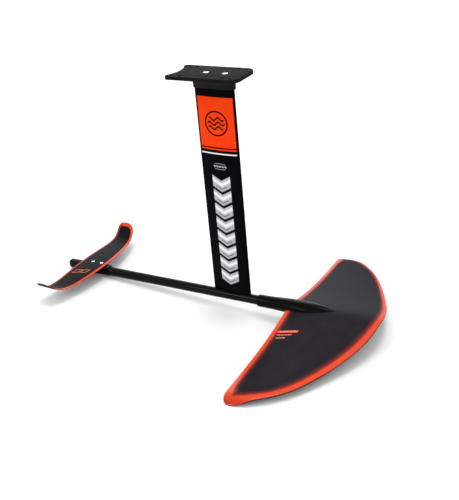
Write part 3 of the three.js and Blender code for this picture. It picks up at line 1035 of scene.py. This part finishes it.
@dataclass
class Fairing:
    """The wing's socket: a round sleeve that flares into the wing and closes in to a nose.

    The flare, the rise and the lean each hold where a change starts and ends along X, and how
    much it comes to.
    """

    radius: float = 17.2 * MM
    lip: float = 0.9 * MM
    flare: tuple[float, float, float] = (110 * MM, 240 * MM, 8 * MM)
    rise: tuple[float, float, float] = (100 * MM, 210 * MM, 4.3 * MM)
    taper_start: float = 225 * MM
    fall_start: float = 240 * MM
    fall: float = 11 * MM
    bottom_start: float = 185 * MM
    nose_end: float = 332 * MM
    nose_bottom: float = -647 * MM
    lean: tuple[float, float, float] = (180 * MM, 300 * MM, 0.3)

    def progress(self, x: np.ndarray, start: float, end: Optional[float] = None) -> np.ndarray:
        """Share of the way from a start to an end, the nose unless given, held in 0 to 1."""
        finish = self.nose_end if end is None else end
        return np.clip((x - start) / (finish - start), 0, 1)

    def half_width(self, x: np.ndarray) -> np.ndarray:
        """Half width at X: a smooth flare, times one less the share squared, to the power 0.9."""
        start, end, more = self.flare
        width = self.radius + more * ease(self.progress(x, start, end))
        return width * (1 - self.progress(x, self.taper_start) ** 2) ** 0.9

    def solid(self, start: float, axis: float) -> bpy.types.Object:
        """The closed fairing: a superellipse at each X between its bottom and its top.

        The top climbs by a smooth step and falls with the share to the power 2.2; the bottom
        rises with its share to the power 1.1.

        Args:
            start: where the sleeve's mouth is along X.
            axis: height of the fuselage's axis.

        Returns:
            The fairing.
        """
        turn = np.linspace(0, np.pi / 2, 6)
        mouth = start + self.lip * (1 - np.cos(turn))
        x = np.concatenate([mouth, np.linspace(start + self.lip, self.nose_end, 110)[1:]])
        inset = np.zeros(len(x))
        inset[:len(turn)] = self.lip * (1 - np.sin(turn))
        half = np.maximum(self.half_width(x), 0.6 * MM) - inset
        climb = self.rise[2] * ease(self.progress(x, self.rise[0], self.rise[1]))
        drop = self.fall * self.progress(x, self.fall_start) ** 2.2
        high = axis + self.radius + climb - drop - inset
        bottom = axis - self.radius
        lift = (self.nose_bottom - bottom) * self.progress(x, self.bottom_start) ** 1.1
        low = bottom + lift + inset
        power = 2 - self.lean[2] * ease(self.progress(x, self.lean[0], self.lean[1]))
        around = superellipse(turns(96, 0.5)[None], power[:, None])
        return skin("fairing", hoops(x, half, low, high, around))


@dataclass
class FrontWing(LiftingSurface):
    """The front wing with its socket and fairing.

    The terms, the point, the droop and the curl are millimetres over the half span.
    """

    name: str = "front_wing"
    slot: str = "wing_carbon"
    port_share: float = 0.78
    port_fade: float = 0.4
    rear_terms: Terms = ((183.8, 0), (-20.5, 2), (18.5, 4))
    sweep_terms: Terms = ((234.0, 2), (-138.1, 4), (132.0, 8), (-25.3, 24))
    droop_terms: Terms = ((-68.8, 2), (-1.5, 6))
    droop: float = 114.0
    crown: float = 0.06
    point: float = 17.9
    apex: float = 0.05
    curl: float = 16.6
    curl_start: float = 0.905
    centre_height: float = -634.4 * MM
    bore: float = 11.3 * MM
    bore_end: float = 176.6 * MM
    seat: float = -656.6 * MM
    fairing: Fairing = field(default_factory=Fairing)

    def edges(self, e: np.ndarray) -> tuple[np.ndarray, np.ndarray, np.ndarray]:
        """Even powers of the span share for both edges, and a drooped line whose tips curl down.

        The front edge also comes to a soft point by a hyperbola, and the droop is a hyperbola
        too. The curl grows with the 2.2 power of the share past its start.

        Args:
            e: shares of the half span.

        Returns:
            Rear edge, front edge and height.
        """
        rear = series(e, self.rear_terms)
        point = self.point * (np.hypot(e, self.apex) - self.apex)
        front = self.high[0] / MM - point - series(e, self.sweep_terms)
        past = np.clip((e - self.curl_start) / (1 - self.curl_start), 0, 1)
        droop = self.droop * np.hypot(e, self.crown) + series(e, self.droop_terms)
        droop = droop + self.curl * past ** 2.2
        return rear * MM, front * MM, self.centre_height - droop * MM

    def border(self, points: np.ndarray) -> np.ndarray:
        """The painted border, which ends beside the fairing."""
        return np.where(self.on_fairing(points), 2.0, super().border(points))

    def on_fairing(self, points: np.ndarray) -> np.ndarray:
        """Whether each point is on the fairing: within its width, and off the wing's own skin."""
        x, y, z = points.T
        e = np.abs(y) / self.half_span
        rear, front, height = self.edges(e)
        s = np.clip((front - x) / (front - rear), 0, 1)
        arch = height + 4 * self.camber * (front - rear) * s * (1 - s)
        skin_half = self.section_half(s, front - rear)
        off_skin = np.abs(z - arch) > skin_half + 0.15 * MM
        within = np.abs(y) < self.fairing.half_width(x) + 0.5 * MM
        return within & (x < self.fairing.nose_end) & (off_skin | (x < rear))

    def build(self, axis: float, screws: dict[End, float]) -> None:
        """Makes and dresses the front wing.

        Args:
            axis: height of the fuselage's axis.
            screws: where the socket's screws stand along X.
        """
        piece = combine(self.surface(), self.fairing.solid(self.low[0], axis), Cut.JOIN)
        ends, bore = np.array([self.low[0] - 5 * MM, self.bore_end]), np.full(2, self.bore)
        rings = hoops(ends, bore, axis - bore, axis + bore, superellipse(turns(72), 2.0))
        piece = combine(piece, skin("tool", rings), Cut.REMOVE)
        below = self.seat - 5 * MM
        for x in screws.values():
            through, recess = (4.3 * MM, below, axis), (7.6 * MM, below, self.seat)
            piece = carve(piece, (post(x, *size) for size in (through, recess)))
        smooth(self.paint(piece), 28)
        finish = Twill("carbon with orange border", marks=three_bars)
        dress(piece, finish.material(), self.slot, self.name)


def three_bars(x: Value, y: Value) -> Value:
    """Three short dashed bars along the chord, each shorter than the one before.

    Args:
        x: millimetres along X.
        y: millimetres along Y.

    Returns:
        1 on the bars.
    """
    middle, slant, soft = 225.0, 0.2, 0.8
    dash, thin, faint = 9.0, 2.3, 0.75
    lean = y - (x - middle) * slant
    dashes = 1.0 - (x % dash).band(dash / 2, 0.7, 0.6) * 0.8
    first = x.band(middle, 27.0, soft) * lean.band(-101.5, 4.0, soft)
    second = x.band(221.0, 20.0, soft) * lean.band(-114.5, thin, soft)
    third = x.band(216.0, 12.0, soft) * lean.band(-126.3, thin, soft)
    return first.most(second * faint).most(third * faint) * dashes


def slanted_frames(x: Value, y: Value) -> Value:
    """Two slanted outlined bars on the starboard half.

    Args:
        x: millimetres along X.
        y: millimetres along Y.

    Returns:
        1 on the lines.
    """
    half_height, line, soft = 9.0, 1.9, 0.5
    lean = y + 65.0 - (x + 476.0) * 0.25
    frames = []
    for centre, half in ((-488.5, 10.0), (-464.5, 9.5)):
        along = x - centre - lean * 0.35
        outer = along.band(0.0, half, soft) * lean.band(0.0, half_height, soft)
        inner = along.band(0.0, half - line, soft) * lean.band(0.0, half_height - line, soft)
        frames.append(outer - inner)
    return frames[0].most(frames[1])


@dataclass
class Stabiliser(LiftingSurface):
    """The small rear wing with up-turned tips. Its terms are millimetres over the half span."""

    name: str = "stabiliser"
    slot: str = "stabiliser_carbon"
    span_steps: int = 160
    section_steps: int = 32
    thickness: float = 0.075
    camber: float = 0.006
    trailing_half: float = 0.5 * MM
    tip_start: float = 0.9
    tip_centre: float = 0.49
    tip_power: float = 2.8
    lead_border: float = 7.5 * MM
    trail_border: float = 6 * MM
    tip_border: float = 2.5 * MM
    dark_lip: float = 0.3 * MM
    rear_terms: Terms = ((-518.1, 0), (13.4, 2), (-24.0, 4))
    front_terms: Terms = ((-42.1, 2), (1.8, 4))
    rise_terms: Terms = ((44.8, 8), (2.2, 4), (-12.8, 2))
    height: float = -621 * MM
    pad_front: float = -436 * MM
    pad_rear: float = -500 * MM
    pad_half_width: float = 11 * MM
    pad_seat: float = -624.3 * MM

    def edges(self, e: np.ndarray) -> tuple[np.ndarray, np.ndarray, np.ndarray]:
        """Even powers of the span share for both edges, and tips that rise with its eighth.

        Args:
            e: shares of the half span.

        Returns:
            Rear edge, front edge and height.
        """
        rear = series(e, self.rear_terms)
        front = self.high[0] / MM + series(e, self.front_terms)
        return rear * MM, front * MM, self.height + series(e, self.rise_terms) * MM

    def deepening(self, points: np.ndarray) -> np.ndarray:
        """How far the paint deepens to dark red: towards the rear edge."""
        rear, front, _ = self.edges(np.clip(np.abs(points[:, 1]) / self.half_span, 0, 1))
        return ease(((front - points[:, 0]) / (front - rear) - 0.6) / 0.3)

    def build(self, screws: dict[End, float], heads: dict[End, float]) -> None:
        """Makes and dresses the stabiliser.

        Args:
            screws: where its screws stand along X.
            heads: the top of each screw's head.
        """
        piece = self.surface()
        pad = box((self.pad_rear, -self.pad_half_width, self.pad_seat),
                  (self.pad_front, self.pad_half_width, self.height - 1 * MM))
        piece = combine(piece, pad, Cut.JOIN)
        for end, x in screws.items():
            top = heads[end] + 0.3 * MM
            wide, narrow = (5.9 * MM, top - 0.7 * MM), (3.3 * MM, top - 3.3 * MM)
            piece = carve(piece, [sink(x, wide, narrow, top + 4 * MM, top - 12 * MM)])
        smooth(self.paint(piece), 28)
        finish = Twill("carbon with crisp orange border", low=(0.0014, 0.0011, 0.0018),
                       high=(0.0085, 0.007, 0.0105), inner=0.85, outer=1.1,
                       marks=slanted_frames)
        dress(piece, finish.material(), self.slot, self.name)


# ---------------------------------------------------------------- mast, head and plate


@dataclass
class Mast:
    """The foil-section mast and the cast head round its top."""

    half_thickness: float = 8.25 * MM
    trailing_half: float = 1.1 * MM
    nose_share: float = 0.35
    fullness: float = 2.2
    wall: float = 2 * MM
    cells: tuple[tuple[float, float], ...] = ((-38 * MM, -20 * MM), (-17 * MM, 54 * MM))
    collar_length: float = 60.6 * MM
    collar_width: float = 11.4 * MM
    collar_foot: float = -40 * MM

    def __post_init__(self) -> None:
        """Reads the mast's box from the frame."""
        low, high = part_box("mast_extrusion")
        self.rear, self.nose, self.foot, self.top = low.x, high.x, low.z, high.z
        self.chord = self.nose - self.rear
        self.centre = (self.nose + self.rear) / 2

    def half(self, x: np.ndarray) -> np.ndarray:
        """Half the mast's thickness at X: a full nose, then a taper to the rear edge.

        Over the nose it is the 1/2.2 power of one less the 2.2 power of the share left, and
        behind it the loss grows with the 2.2 power of the share passed.

        Args:
            x: places along X.

        Returns:
            Half thicknesses.
        """
        share = np.clip((self.nose - x) / self.chord, 0, 1)
        back = np.clip(1 - share / self.nose_share, 0, 1)
        nose = self.half_thickness * (1 - back ** self.fullness) ** (1 / self.fullness)
        along = np.clip((share - self.nose_share) / (1 - self.nose_share), 0, 1)
        loss = (self.half_thickness - self.trailing_half) * along ** self.fullness
        return np.where(share < self.nose_share, nose, self.half_thickness - loss)

    def outline(self, from_x: float, to_x: float, offset: float, steps: int) -> np.ndarray:
        """The section's closed outline between two places, anticlockwise.

        Args:
            from_x: the rear limit.
            to_x: the front limit.
            offset: how far outside the skin it runs.
            steps: steps along each side.

        Returns:
            X and Y of each point.
        """
        share = (1 - np.cos(np.linspace(0, np.pi, steps + 1))) / 2
        x = from_x + (to_x - from_x) * share
        y = self.half(x) + offset
        lower = np.column_stack([x, -y])
        upper = np.column_stack([x, y])[::-1]
        both = np.concatenate([lower, upper])
        apart = np.linalg.norm(both - np.roll(both, 1, axis=0), axis=1) > MERGE
        return both[apart]

    def build(self) -> None:
        """Makes and dresses the mast."""
        loops = [self.outline(self.rear, self.nose, 0.0, 110)]
        for from_x, to_x in self.cells:
            loops.append(self.outline(from_x, to_x, -self.wall, 24)[::-1])
        piece = smooth(slab("mast_fine", loops, self.foot, self.top, 0.2 * MM, 2), 40)
        finish = MastPaint("mast paint", centre=self.centre / MM, rear=self.rear / MM,
                           nose=self.nose / MM)
        dress(piece, finish.material(), "mast_coat", "mast_extrusion")

    def head(self, screws: dict[End, float]) -> None:
        """Makes and dresses the cast head: rings that narrow from the flange to the collar.

        Args:
            screws: where the plate's screws stand along X.
        """
        low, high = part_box("mast_head")
        top, collar = high.z, self.collar_foot
        full = (top - collar) / MM
        drop = np.array([0, 0.4, 1.2, 5, 9, 14, 18, 22, 26, 28.6, 29.6, full]) * MM
        share = ease(drop / (22 * MM))
        lip = np.array([1.2, 0.4, 0, 0, 0, 0, 0, 0, 0, 0, 0.35, 1.1]) * MM
        flange_length, flange_width = (high.x - low.x) / 2, high.y
        length = flange_length + (self.collar_length - flange_length) * share - lip
        width = flange_width + (self.collar_width - flange_width) * share - lip
        middle = (high.x + low.x) / 2
        across, side = superellipse(turns(160), 3.0)
        rings = np.stack([
            middle + length[:, None] * across,
            width[:, None] * side,
            np.repeat((top - drop)[:, None], len(side), axis=1),
        ], axis=-1)
        piece = skin("mast_head_fine", rings)
        pocket = self.outline(self.rear, self.nose, GAP, 60)
        tool = slab("tool", [pocket], collar - 5 * MM, -21.7 * MM, 0.05 * MM, 1)
        piece = combine(piece, tool, Cut.REMOVE)
        from_x, to_x = self.cells[1]
        tenon = self.outline(from_x + GAP, to_x - GAP, -self.wall - GAP, 24)
        tool = slab("tool", [tenon], low.z, -20.7 * MM, 0.4 * MM, 2)
        piece = combine(piece, tool, Cut.JOIN)
        piece = carve(piece, (post(x, 5.2 * MM, -20 * MM, top + 2 * MM) for x in screws.values()))
        finish = Coat("cast black", (0.005, 0.0046, 0.0058), 0.5, 0.08, 1.1, 0.08)
        dress(smooth(piece), finish.material(), "cast_black", "mast_head")


@dataclass
class Plate:
    """The mounting plate."""

    rear_corner: float = 8 * MM
    front_corner: float = 24 * MM
    edge: float = 0.8 * MM
    scallop_half: float = 44 * MM
    scallop_control: float = 18.5 * MM
    hole_x: tuple[float, ...] = (-82.5 * MM, -61.2 * MM, 61.2 * MM, 82.5 * MM)
    hole_y: float = 45 * MM
    hole_radius: float = 4.4 * MM

    def __post_init__(self) -> None:
        """Reads the plate's box from the frame."""
        self.low, self.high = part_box("mount_plate")

    @staticmethod
    def arc(x: float, y: float, radius: float, start: float) -> np.ndarray:
        """A quarter circle of a radius from a start angle, in quarter turns."""
        turn = (start + np.linspace(0, 1, 25)) * (np.pi / 2)
        return np.column_stack([x + radius * np.cos(turn), y + radius * np.sin(turn)])

    def outline(self) -> np.ndarray:
        """The outline, anticlockwise: four round corners and a hollow cubic Bezier rear edge."""
        rear, front, half = self.low.x, self.high.x, self.high.y
        r, f = self.rear_corner, self.front_corner
        share = np.linspace(0, 1, 49)[1:-1, None]
        ends = np.array([[rear, self.scallop_half], [rear, -self.scallop_half]])
        pulls = np.array([[rear + self.scallop_control, self.scallop_half / 2],
                          [rear + self.scallop_control, -self.scallop_half / 2]])
        hollow = ((1 - share) ** 3 * ends[0] + 3 * (1 - share) ** 2 * share * pulls[0]
                  + 3 * (1 - share) * share ** 2 * pulls[1] + share ** 3 * ends[1])
        return np.concatenate([
            self.arc(rear + r, r - half, r, 2), self.arc(front - f, f - half, f, 3),
            self.arc(front - f, half - f, f, 0), self.arc(rear + r, half - r, r, 1),
            ends[:1], hollow, ends[1:],
        ])

    def build(self, screws: dict[End, float]) -> None:
        """Makes and dresses the plate.

        Args:
            screws: where the plate's screws stand along X.
        """
        turn = -turns(40)
        ring = np.column_stack([np.cos(turn), np.sin(turn)]) * self.hole_radius
        holes = [ring + (x, y) for x in self.hole_x for y in (-self.hole_y, self.hole_y)]
        piece = slab("mount_plate_fine", [self.outline(), *holes], self.low.z, self.high.z,
                     self.edge, 4)
        wide, narrow = (7.9 * MM, -0.7 * MM), (4.3 * MM, -4.3 * MM)
        tools = (sink(x, wide, narrow, 2 * MM, -12 * MM) for x in screws.values())
        piece = carve(piece, tools)
        finish = Coat("plate coat", (0.0068, 0.0067, 0.0075), 0.6, 0.03, 0.9, 0.06)
        dress(smooth(piece), finish.material(), "plate_coat", "mount_plate")


# ---------------------------------------------------------------- fuselage


@dataclass
class Fuselage:
    """The round bar with its mast pocket, spigot, saddle and tail."""

    shoulder: float = 91.7 * MM
    spigot: float = 11 * MM
    tail_start: float = -404 * MM
    saddle_top: float = -624.6 * MM
    saddle_front: float = -424 * MM
    saddle_rear: float = -506 * MM
    pocket_floor: float = -638 * MM
    foot_seat: float = -647 * MM
    hole_end: float = -640 * MM

    def __post_init__(self) -> None:
        """Reads the fuselage's box from the frame."""
        self.low, self.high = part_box("fuselage")
        self.radius = self.high.y
        self.axis = self.low.z + self.radius

    def rings(self) -> np.ndarray:
        """Rings across X from the tail's end to the spigot's tip.

        Each is a superellipse between a low and a high point; its half width, heights and power
        run smoothly between the stations listed here from the rear to the front.

        Returns:
            An array of rings by points by three numbers.
        """
        a, r, top, tail = self.axis, self.radius, self.saddle_top, self.low.x
        lip, end = 0.8 * MM, self.high.x
        stations = np.array([
            (tail, 10 * MM, a - 5 * MM, top - 2.4 * MM, 4.4),
            (tail + 1.4 * MM, 10.8 * MM, a - 6.6 * MM, top - 1.6 * MM, 4.4),
            (tail + 7 * MM, 11 * MM, a - 9.4 * MM, top - 1.4 * MM, 4.0),
            (-532 * MM, 11.3 * MM, a - 11.3 * MM, top - 0.6 * MM, 3.4),
            (self.saddle_rear, 11.6 * MM, a - 13 * MM, top + 1.2 * MM, 3.6),
            (self.saddle_front, 12.2 * MM, a - 13.3 * MM, top + 1.4 * MM, 3.4),
            (self.tail_start - 8 * MM, 13 * MM, a - r, a + 14.2 * MM, 2.3),
            (self.tail_start + 2 * MM, r, a - r, a + r, 2.0),
            (self.shoulder - lip, r, a - r, a + r, 2.0),
            (self.shoulder, r - lip, a - r + lip, a + r - lip, 2.0),
            (self.shoulder, self.spigot, a - self.spigot, a + self.spigot, 2.0),
            (end - lip, self.spigot, a - self.spigot, a + self.spigot, 2.0),
            (end, self.spigot - lip, a - self.spigot + lip, a + self.spigot - lip, 2.0),
        ])
        steps = (2, 2, 10, 10, 12, 8, 8, 60, 2, 1, 16, 2)
        parts = []
        for start, finish, count in zip(stations[:-1], stations[1:], steps):
            share = np.arange(count)[:, None] / count
            row = start + (finish - start) * ease(share)
            row[:, 0] = start[0] + (finish[0] - start[0]) * share[:, 0]
            parts.append(row)
        x, half, low, high, power = np.concatenate([*parts, stations[-1:]]).T
        return hoops(x, half, low, high, superellipse(turns(96, 0.5)[None], power[:, None]))

    def build(self, mast: Mast, foot: dict[End, float], wing: dict[End, float],
              tail: dict[End, float]) -> None:
        """Makes and dresses the fuselage.

        Args:
            mast: the mast, whose outline the pocket follows.
            foot: where the foot screws stand along X.
            wing: where the wing screws stand along X.
            tail: where the stabiliser's screws stand along X.
        """
        piece = skin("fuselage_fine", self.rings())
        spare = 20 * MM
        flat = box((self.saddle_rear, -spare, self.saddle_top),
                   (self.saddle_front + 4 * MM, spare, self.saddle_top + spare))
        piece = combine(piece, flat, Cut.REMOVE)
        pocket = mast.outline(mast.rear, mast.nose, GAP, 60)
        tool = slab("tool", [pocket], self.pocket_floor, self.axis + spare, 0.05 * MM, 1)
        piece = combine(piece, tool, Cut.REMOVE)
        past = 1 * MM
        below, mouth = self.axis - self.radius - past, self.saddle_top + past
        bore = (4.3 * MM, self.foot_seat - past, self.pocket_floor + past)
        recess = (6.8 * MM, below, self.foot_seat)
        holes = [(x, size) for x in foot.values() for size in (bore, recess)]
        holes += [(x, (5.2 * MM, below, self.hole_end)) for x in wing.values()]
        holes += [(x, (4.2 * MM, self.hole_end, mouth)) for x in tail.values()]
        piece = carve(piece, (post(x, *size) for x, size in holes))
        finish = Coat("satin black bar", (0.001, 0.001, 0.0013), 0.12, 0.09, 0.5, 0.006)
        dress(smooth(piece, 24.0), finish.material(), "fuselage_coat", "fuselage")


# ---------------------------------------------------------------- screws


@dataclass
class Screws:
    """All the screws, each worked out from its CAD node's box."""

    steel: bpy.types.Material = field(init=False)

    def __post_init__(self) -> None:
        """Makes the bright steel that all screws share."""
        self.steel = Bright("stainless", (0.86, 0.86, 0.88), 0.22).material()

    @staticmethod
    def places(prefix: str) -> dict[End, float]:
        """Where each screw of a pair stands along X.

        Args:
            prefix: the node names' common part.

        Returns:
            The place of each.
        """
        boxes = {end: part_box(f"{prefix}_{end.value}") for end in End}
        return {end: (low.x + high.x) / 2 for end, (low, high) in boxes.items()}

    def turned(self, node: str, profile: Sequence[Sequence[float]], x: float, flats: float,
               key: tuple[float, float]) -> None:
        """Turns one screw, cuts its hexagon socket and dresses it.

        Args:
            node: the CAD node that it stands for.
            profile: radius and height of each point of its outline.
            x: where it stands along X.
            flats: the socket's width across flats.
            key: the socket's lowest and highest point.
        """
        piece = lathe(node + "_fine", profile, x)
        piece = carve(piece, [post(x, flats / math.sqrt(3), *key, 6)])
        dress(smooth(piece, 25), self.steel, "stainless", node)

    def countersunk(self, prefix: str, shank: float, cone: float, flats: float,
                    socket: float) -> None:
        """Makes a pair of countersunk screws with rounded rims and hexagon sockets.

        Args:
            prefix: the node names' common part.
            shank: the shank's radius.
            cone: the height of the head's cone.
            flats: the socket's width across flats.
            socket: the socket's depth.
        """
        for end, x in self.places(prefix).items():
            low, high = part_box(f"{prefix}_{end.value}")
            head, top = (high.x - low.x) / 2, high.z
            rim = top - 0.4 * MM
            profile = [
                (head * 0.9, top), (head * 0.97, top - 0.05 * MM), (head, top - 0.2 * MM),
                (head, rim), (shank, rim - cone), (shank, low.z + 0.8 * MM),
                (shank - 0.8 * MM, low.z),
            ]
            self.turned(f"{prefix}_{end.value}", profile, x, flats, (top - socket, top + 1 * MM))

    def from_below(self, prefix: str, shank: float, height: float, flats: float, socket: float,
                   dome: float) -> None:
        """Makes a pair of screws that point up, with a flat or domed head.

        The head's side is a quarter ellipse whose height is the dome.

        Args:
            prefix: the node names' common part.
            shank: the shank's radius.
            height: the head's height.
            flats: the socket's width across flats.
            socket: the socket's depth.
            dome: how high the head's rounding reaches.
        """
        turn = np.linspace(0, np.pi / 2, 9)
        for end, x in self.places(prefix).items():
            low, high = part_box(f"{prefix}_{end.value}")
            head, seat = (high.x - low.x) / 2, low.z + height
            inner = head - max(dome, 0.5 * MM)
            curve = np.column_stack([
                inner + (head - inner) * np.sin(turn),
                low.z + dome * (1 - np.cos(turn)),
            ])
            profile = [*curve.tolist(), (head, seat), (shank, seat),
                       (shank, high.z - 0.8 * MM), (shank - 0.8 * MM, high.z)]
            foot = low.z
            self.turned(f"{prefix}_{end.value}", profile, x, flats, (foot - 1 * MM, foot + socket))

    def build(self) -> None:
        """Makes every screw and finishes the hidden sleeves and the foot insert."""
        self.countersunk("plate_screw", 4 * MM, 3.6 * MM, 5 * MM, 2.6 * MM)
        self.countersunk("stabiliser_screw", 3 * MM, 2.6 * MM, 4 * MM, 1.8 * MM)
        self.from_below("foot_screw", 4 * MM, 8 * MM, 6 * MM, 4 * MM, 0.6 * MM)
        self.from_below("wing_screw", 4 * MM, 4.4 * MM, 5 * MM, 2.5 * MM, 3.6 * MM)
        sleeve = Bright("sleeve steel", (0.5, 0.5, 0.52), 0.4).material()
        machined = Bright("machined aluminium", (0.62, 0.63, 0.65), 0.38).material()
        for name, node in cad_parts.items():
            if "sleeve" in name or name.startswith("head_insert"):
                coat(node, sleeve)
            elif name == "foot_insert":
                coat(node, machined)


# ---------------------------------------------------------------- studio


@dataclass(frozen=True)
class Lamp:
    """A soft light from far away, as wide as a large diffuser.

    It stands in a direction, its spread is its width in degrees as seen from the object, and its
    strength is a sun's.
    """

    name: str
    towards: tuple[float, float, float]
    spread: float
    strength: float

    def hang(self) -> None:
        """Puts the light into the scene."""
        data = bpy.data.lights.new(self.name, "SUN")
        data.angle = math.radians(self.spread)
        data.energy = self.strength
        lamp = bpy.data.objects.new(self.name, data)
        bpy.context.scene.collection.objects.link(lamp)
        lamp.rotation_euler = Vector(self.towards).to_track_quat("Z", "Y").to_euler()


@dataclass
class Studio:
    """A pale floor, soft light and the camera."""

    azimuth: float = 30.562
    elevation: float = 26.666
    roll: float = 5.266
    distance: float = 2.3323
    target: tuple[float, float, float] = (10.9 * MM, 0.0, -497.8 * MM)
    lens: float = 60.87
    floor_half: float = 12.0
    ambient: float = 1.0
    lamps: tuple[Lamp, ...] = (
        Lamp("overhead", (0.02, 0.12, 1.0), 18, 0.75),
        Lamp("key", (-0.4, -0.7, 0.6), 12, 0.35),
        Lamp("rim", (-0.45, 0.77, 0.45), 22, 0.28),
    )

    def camera(self) -> None:
        """Stands the camera on a line from the target, turned about that line by the roll."""
        az, el, roll = (math.radians(a) for a in (self.azimuth, self.elevation, self.roll))
        back = np.array([math.sin(az) * math.cos(el), -math.cos(az) * math.cos(el), math.sin(el)])
        level = np.array([math.cos(az), math.sin(az), 0.0])
        upright = np.cross(back, level)
        right = level * math.cos(roll) - upright * math.sin(roll)
        up = np.cross(back, right)
        data = bpy.data.cameras.new("camera")
        data.sensor_fit = "VERTICAL"
        data.sensor_height = 36.0
        data.lens = self.lens
        data.clip_end = 100.0
        camera = bpy.data.objects.new("camera", data)
        bpy.context.scene.collection.objects.link(camera)
        matrix = np.eye(4)
        matrix[:3, 0], matrix[:3, 1], matrix[:3, 2] = right, up, back
        matrix[:3, 3] = np.array(self.target) + back * self.distance
        camera.matrix_world = Matrix(matrix.tolist())
        bpy.context.scene.camera = camera

    def floor(self) -> None:
        """Lays a pale floor that the wing's tips and the tail both stand on.

        The floor passes a little below the lowest point of the wing and leans by the steepest
        slope that still leaves every point well behind it above the floor.
        """
        corners = np.concatenate([
            np.array([vertex.co for vertex in node.data.vertices])
            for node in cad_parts.values()
        ])
        tip = corners[corners[:, 2].argmin()]
        behind = corners[corners[:, 0] < tip[0] - 200 * MM]
        slope = ((behind[:, 2] - tip[2]) / (behind[:, 0] - tip[0])).max()
        reach = self.floor_half
        points = np.array([(x, y, tip[2] + slope * (x - tip[0]) - GAP) for x, y in
                           ((-reach, -reach), (reach, -reach), (reach, reach), (-reach, reach))])
        floor = link("floor", points, [(0, 1, 2, 3)])
        shader = Shader("pale floor")
        cloud = shader.noise(400.0, 2.0).rise(0.3, 0.7)
        pale, paler = (0.95, 0.95, 0.95), (0.97, 0.97, 0.97)
        shader.set(Base_Color=shader.mix(cloud, pale, paler), Roughness=0.9,
                   Specular_IOR_Level=0.0)
        floor.data.materials.append(shader.material)
        floor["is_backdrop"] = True

    def light(self) -> None:
        """Soft white light all round, one overhead, a weak key in front and one from behind."""
        scene = bpy.context.scene
        world = bpy.data.worlds.new("studio")
        world.use_nodes = True
        backdrop = world.node_tree.nodes["Background"].inputs
        backdrop["Color"].default_value = (1, 1, 1, 1)
        backdrop["Strength"].default_value = self.ambient
        scene.world = world
        scene.view_settings.view_transform = "Standard"
        for lamp in self.lamps:
            lamp.hang()

    def build(self) -> None:
        """Makes the whole studio."""
        self.camera()
        self.floor()
        self.light()


def plain(box_corners: Sequence[Sequence[float]]) -> list[list[float]]:
    """A box's corners as plain lists of numbers."""
    return [[float(part) for part in corner] for corner in box_corners]


def main() -> None:
    """Builds the sub-assemblies in order."""
    logging.basicConfig(level=logging.INFO, format="%(name)s: %(message)s")
    Studio().build()
    plate_x = Screws.places("plate_screw")
    foot_x = Screws.places("foot_screw")
    wing_x = Screws.places("wing_screw")
    tail_x = Screws.places("stabiliser_screw")
    heads = {end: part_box(f"stabiliser_screw_{end.value}")[1].z for end in End}
    mast = Mast()
    fuselage = Fuselage()
    Plate().build(plate_x)
    mast.head(plate_x)
    mast.build()
    fuselage.build(mast, foot_x, wing_x, tail_x)
    FrontWing().build(fuselage.axis, wing_x)
    Stabiliser().build(tail_x, heads)
    Screws().build()
    {"cad": plain(CAD_BOX), "visual": plain(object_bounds())}


if __name__ == "__main__":
    main()
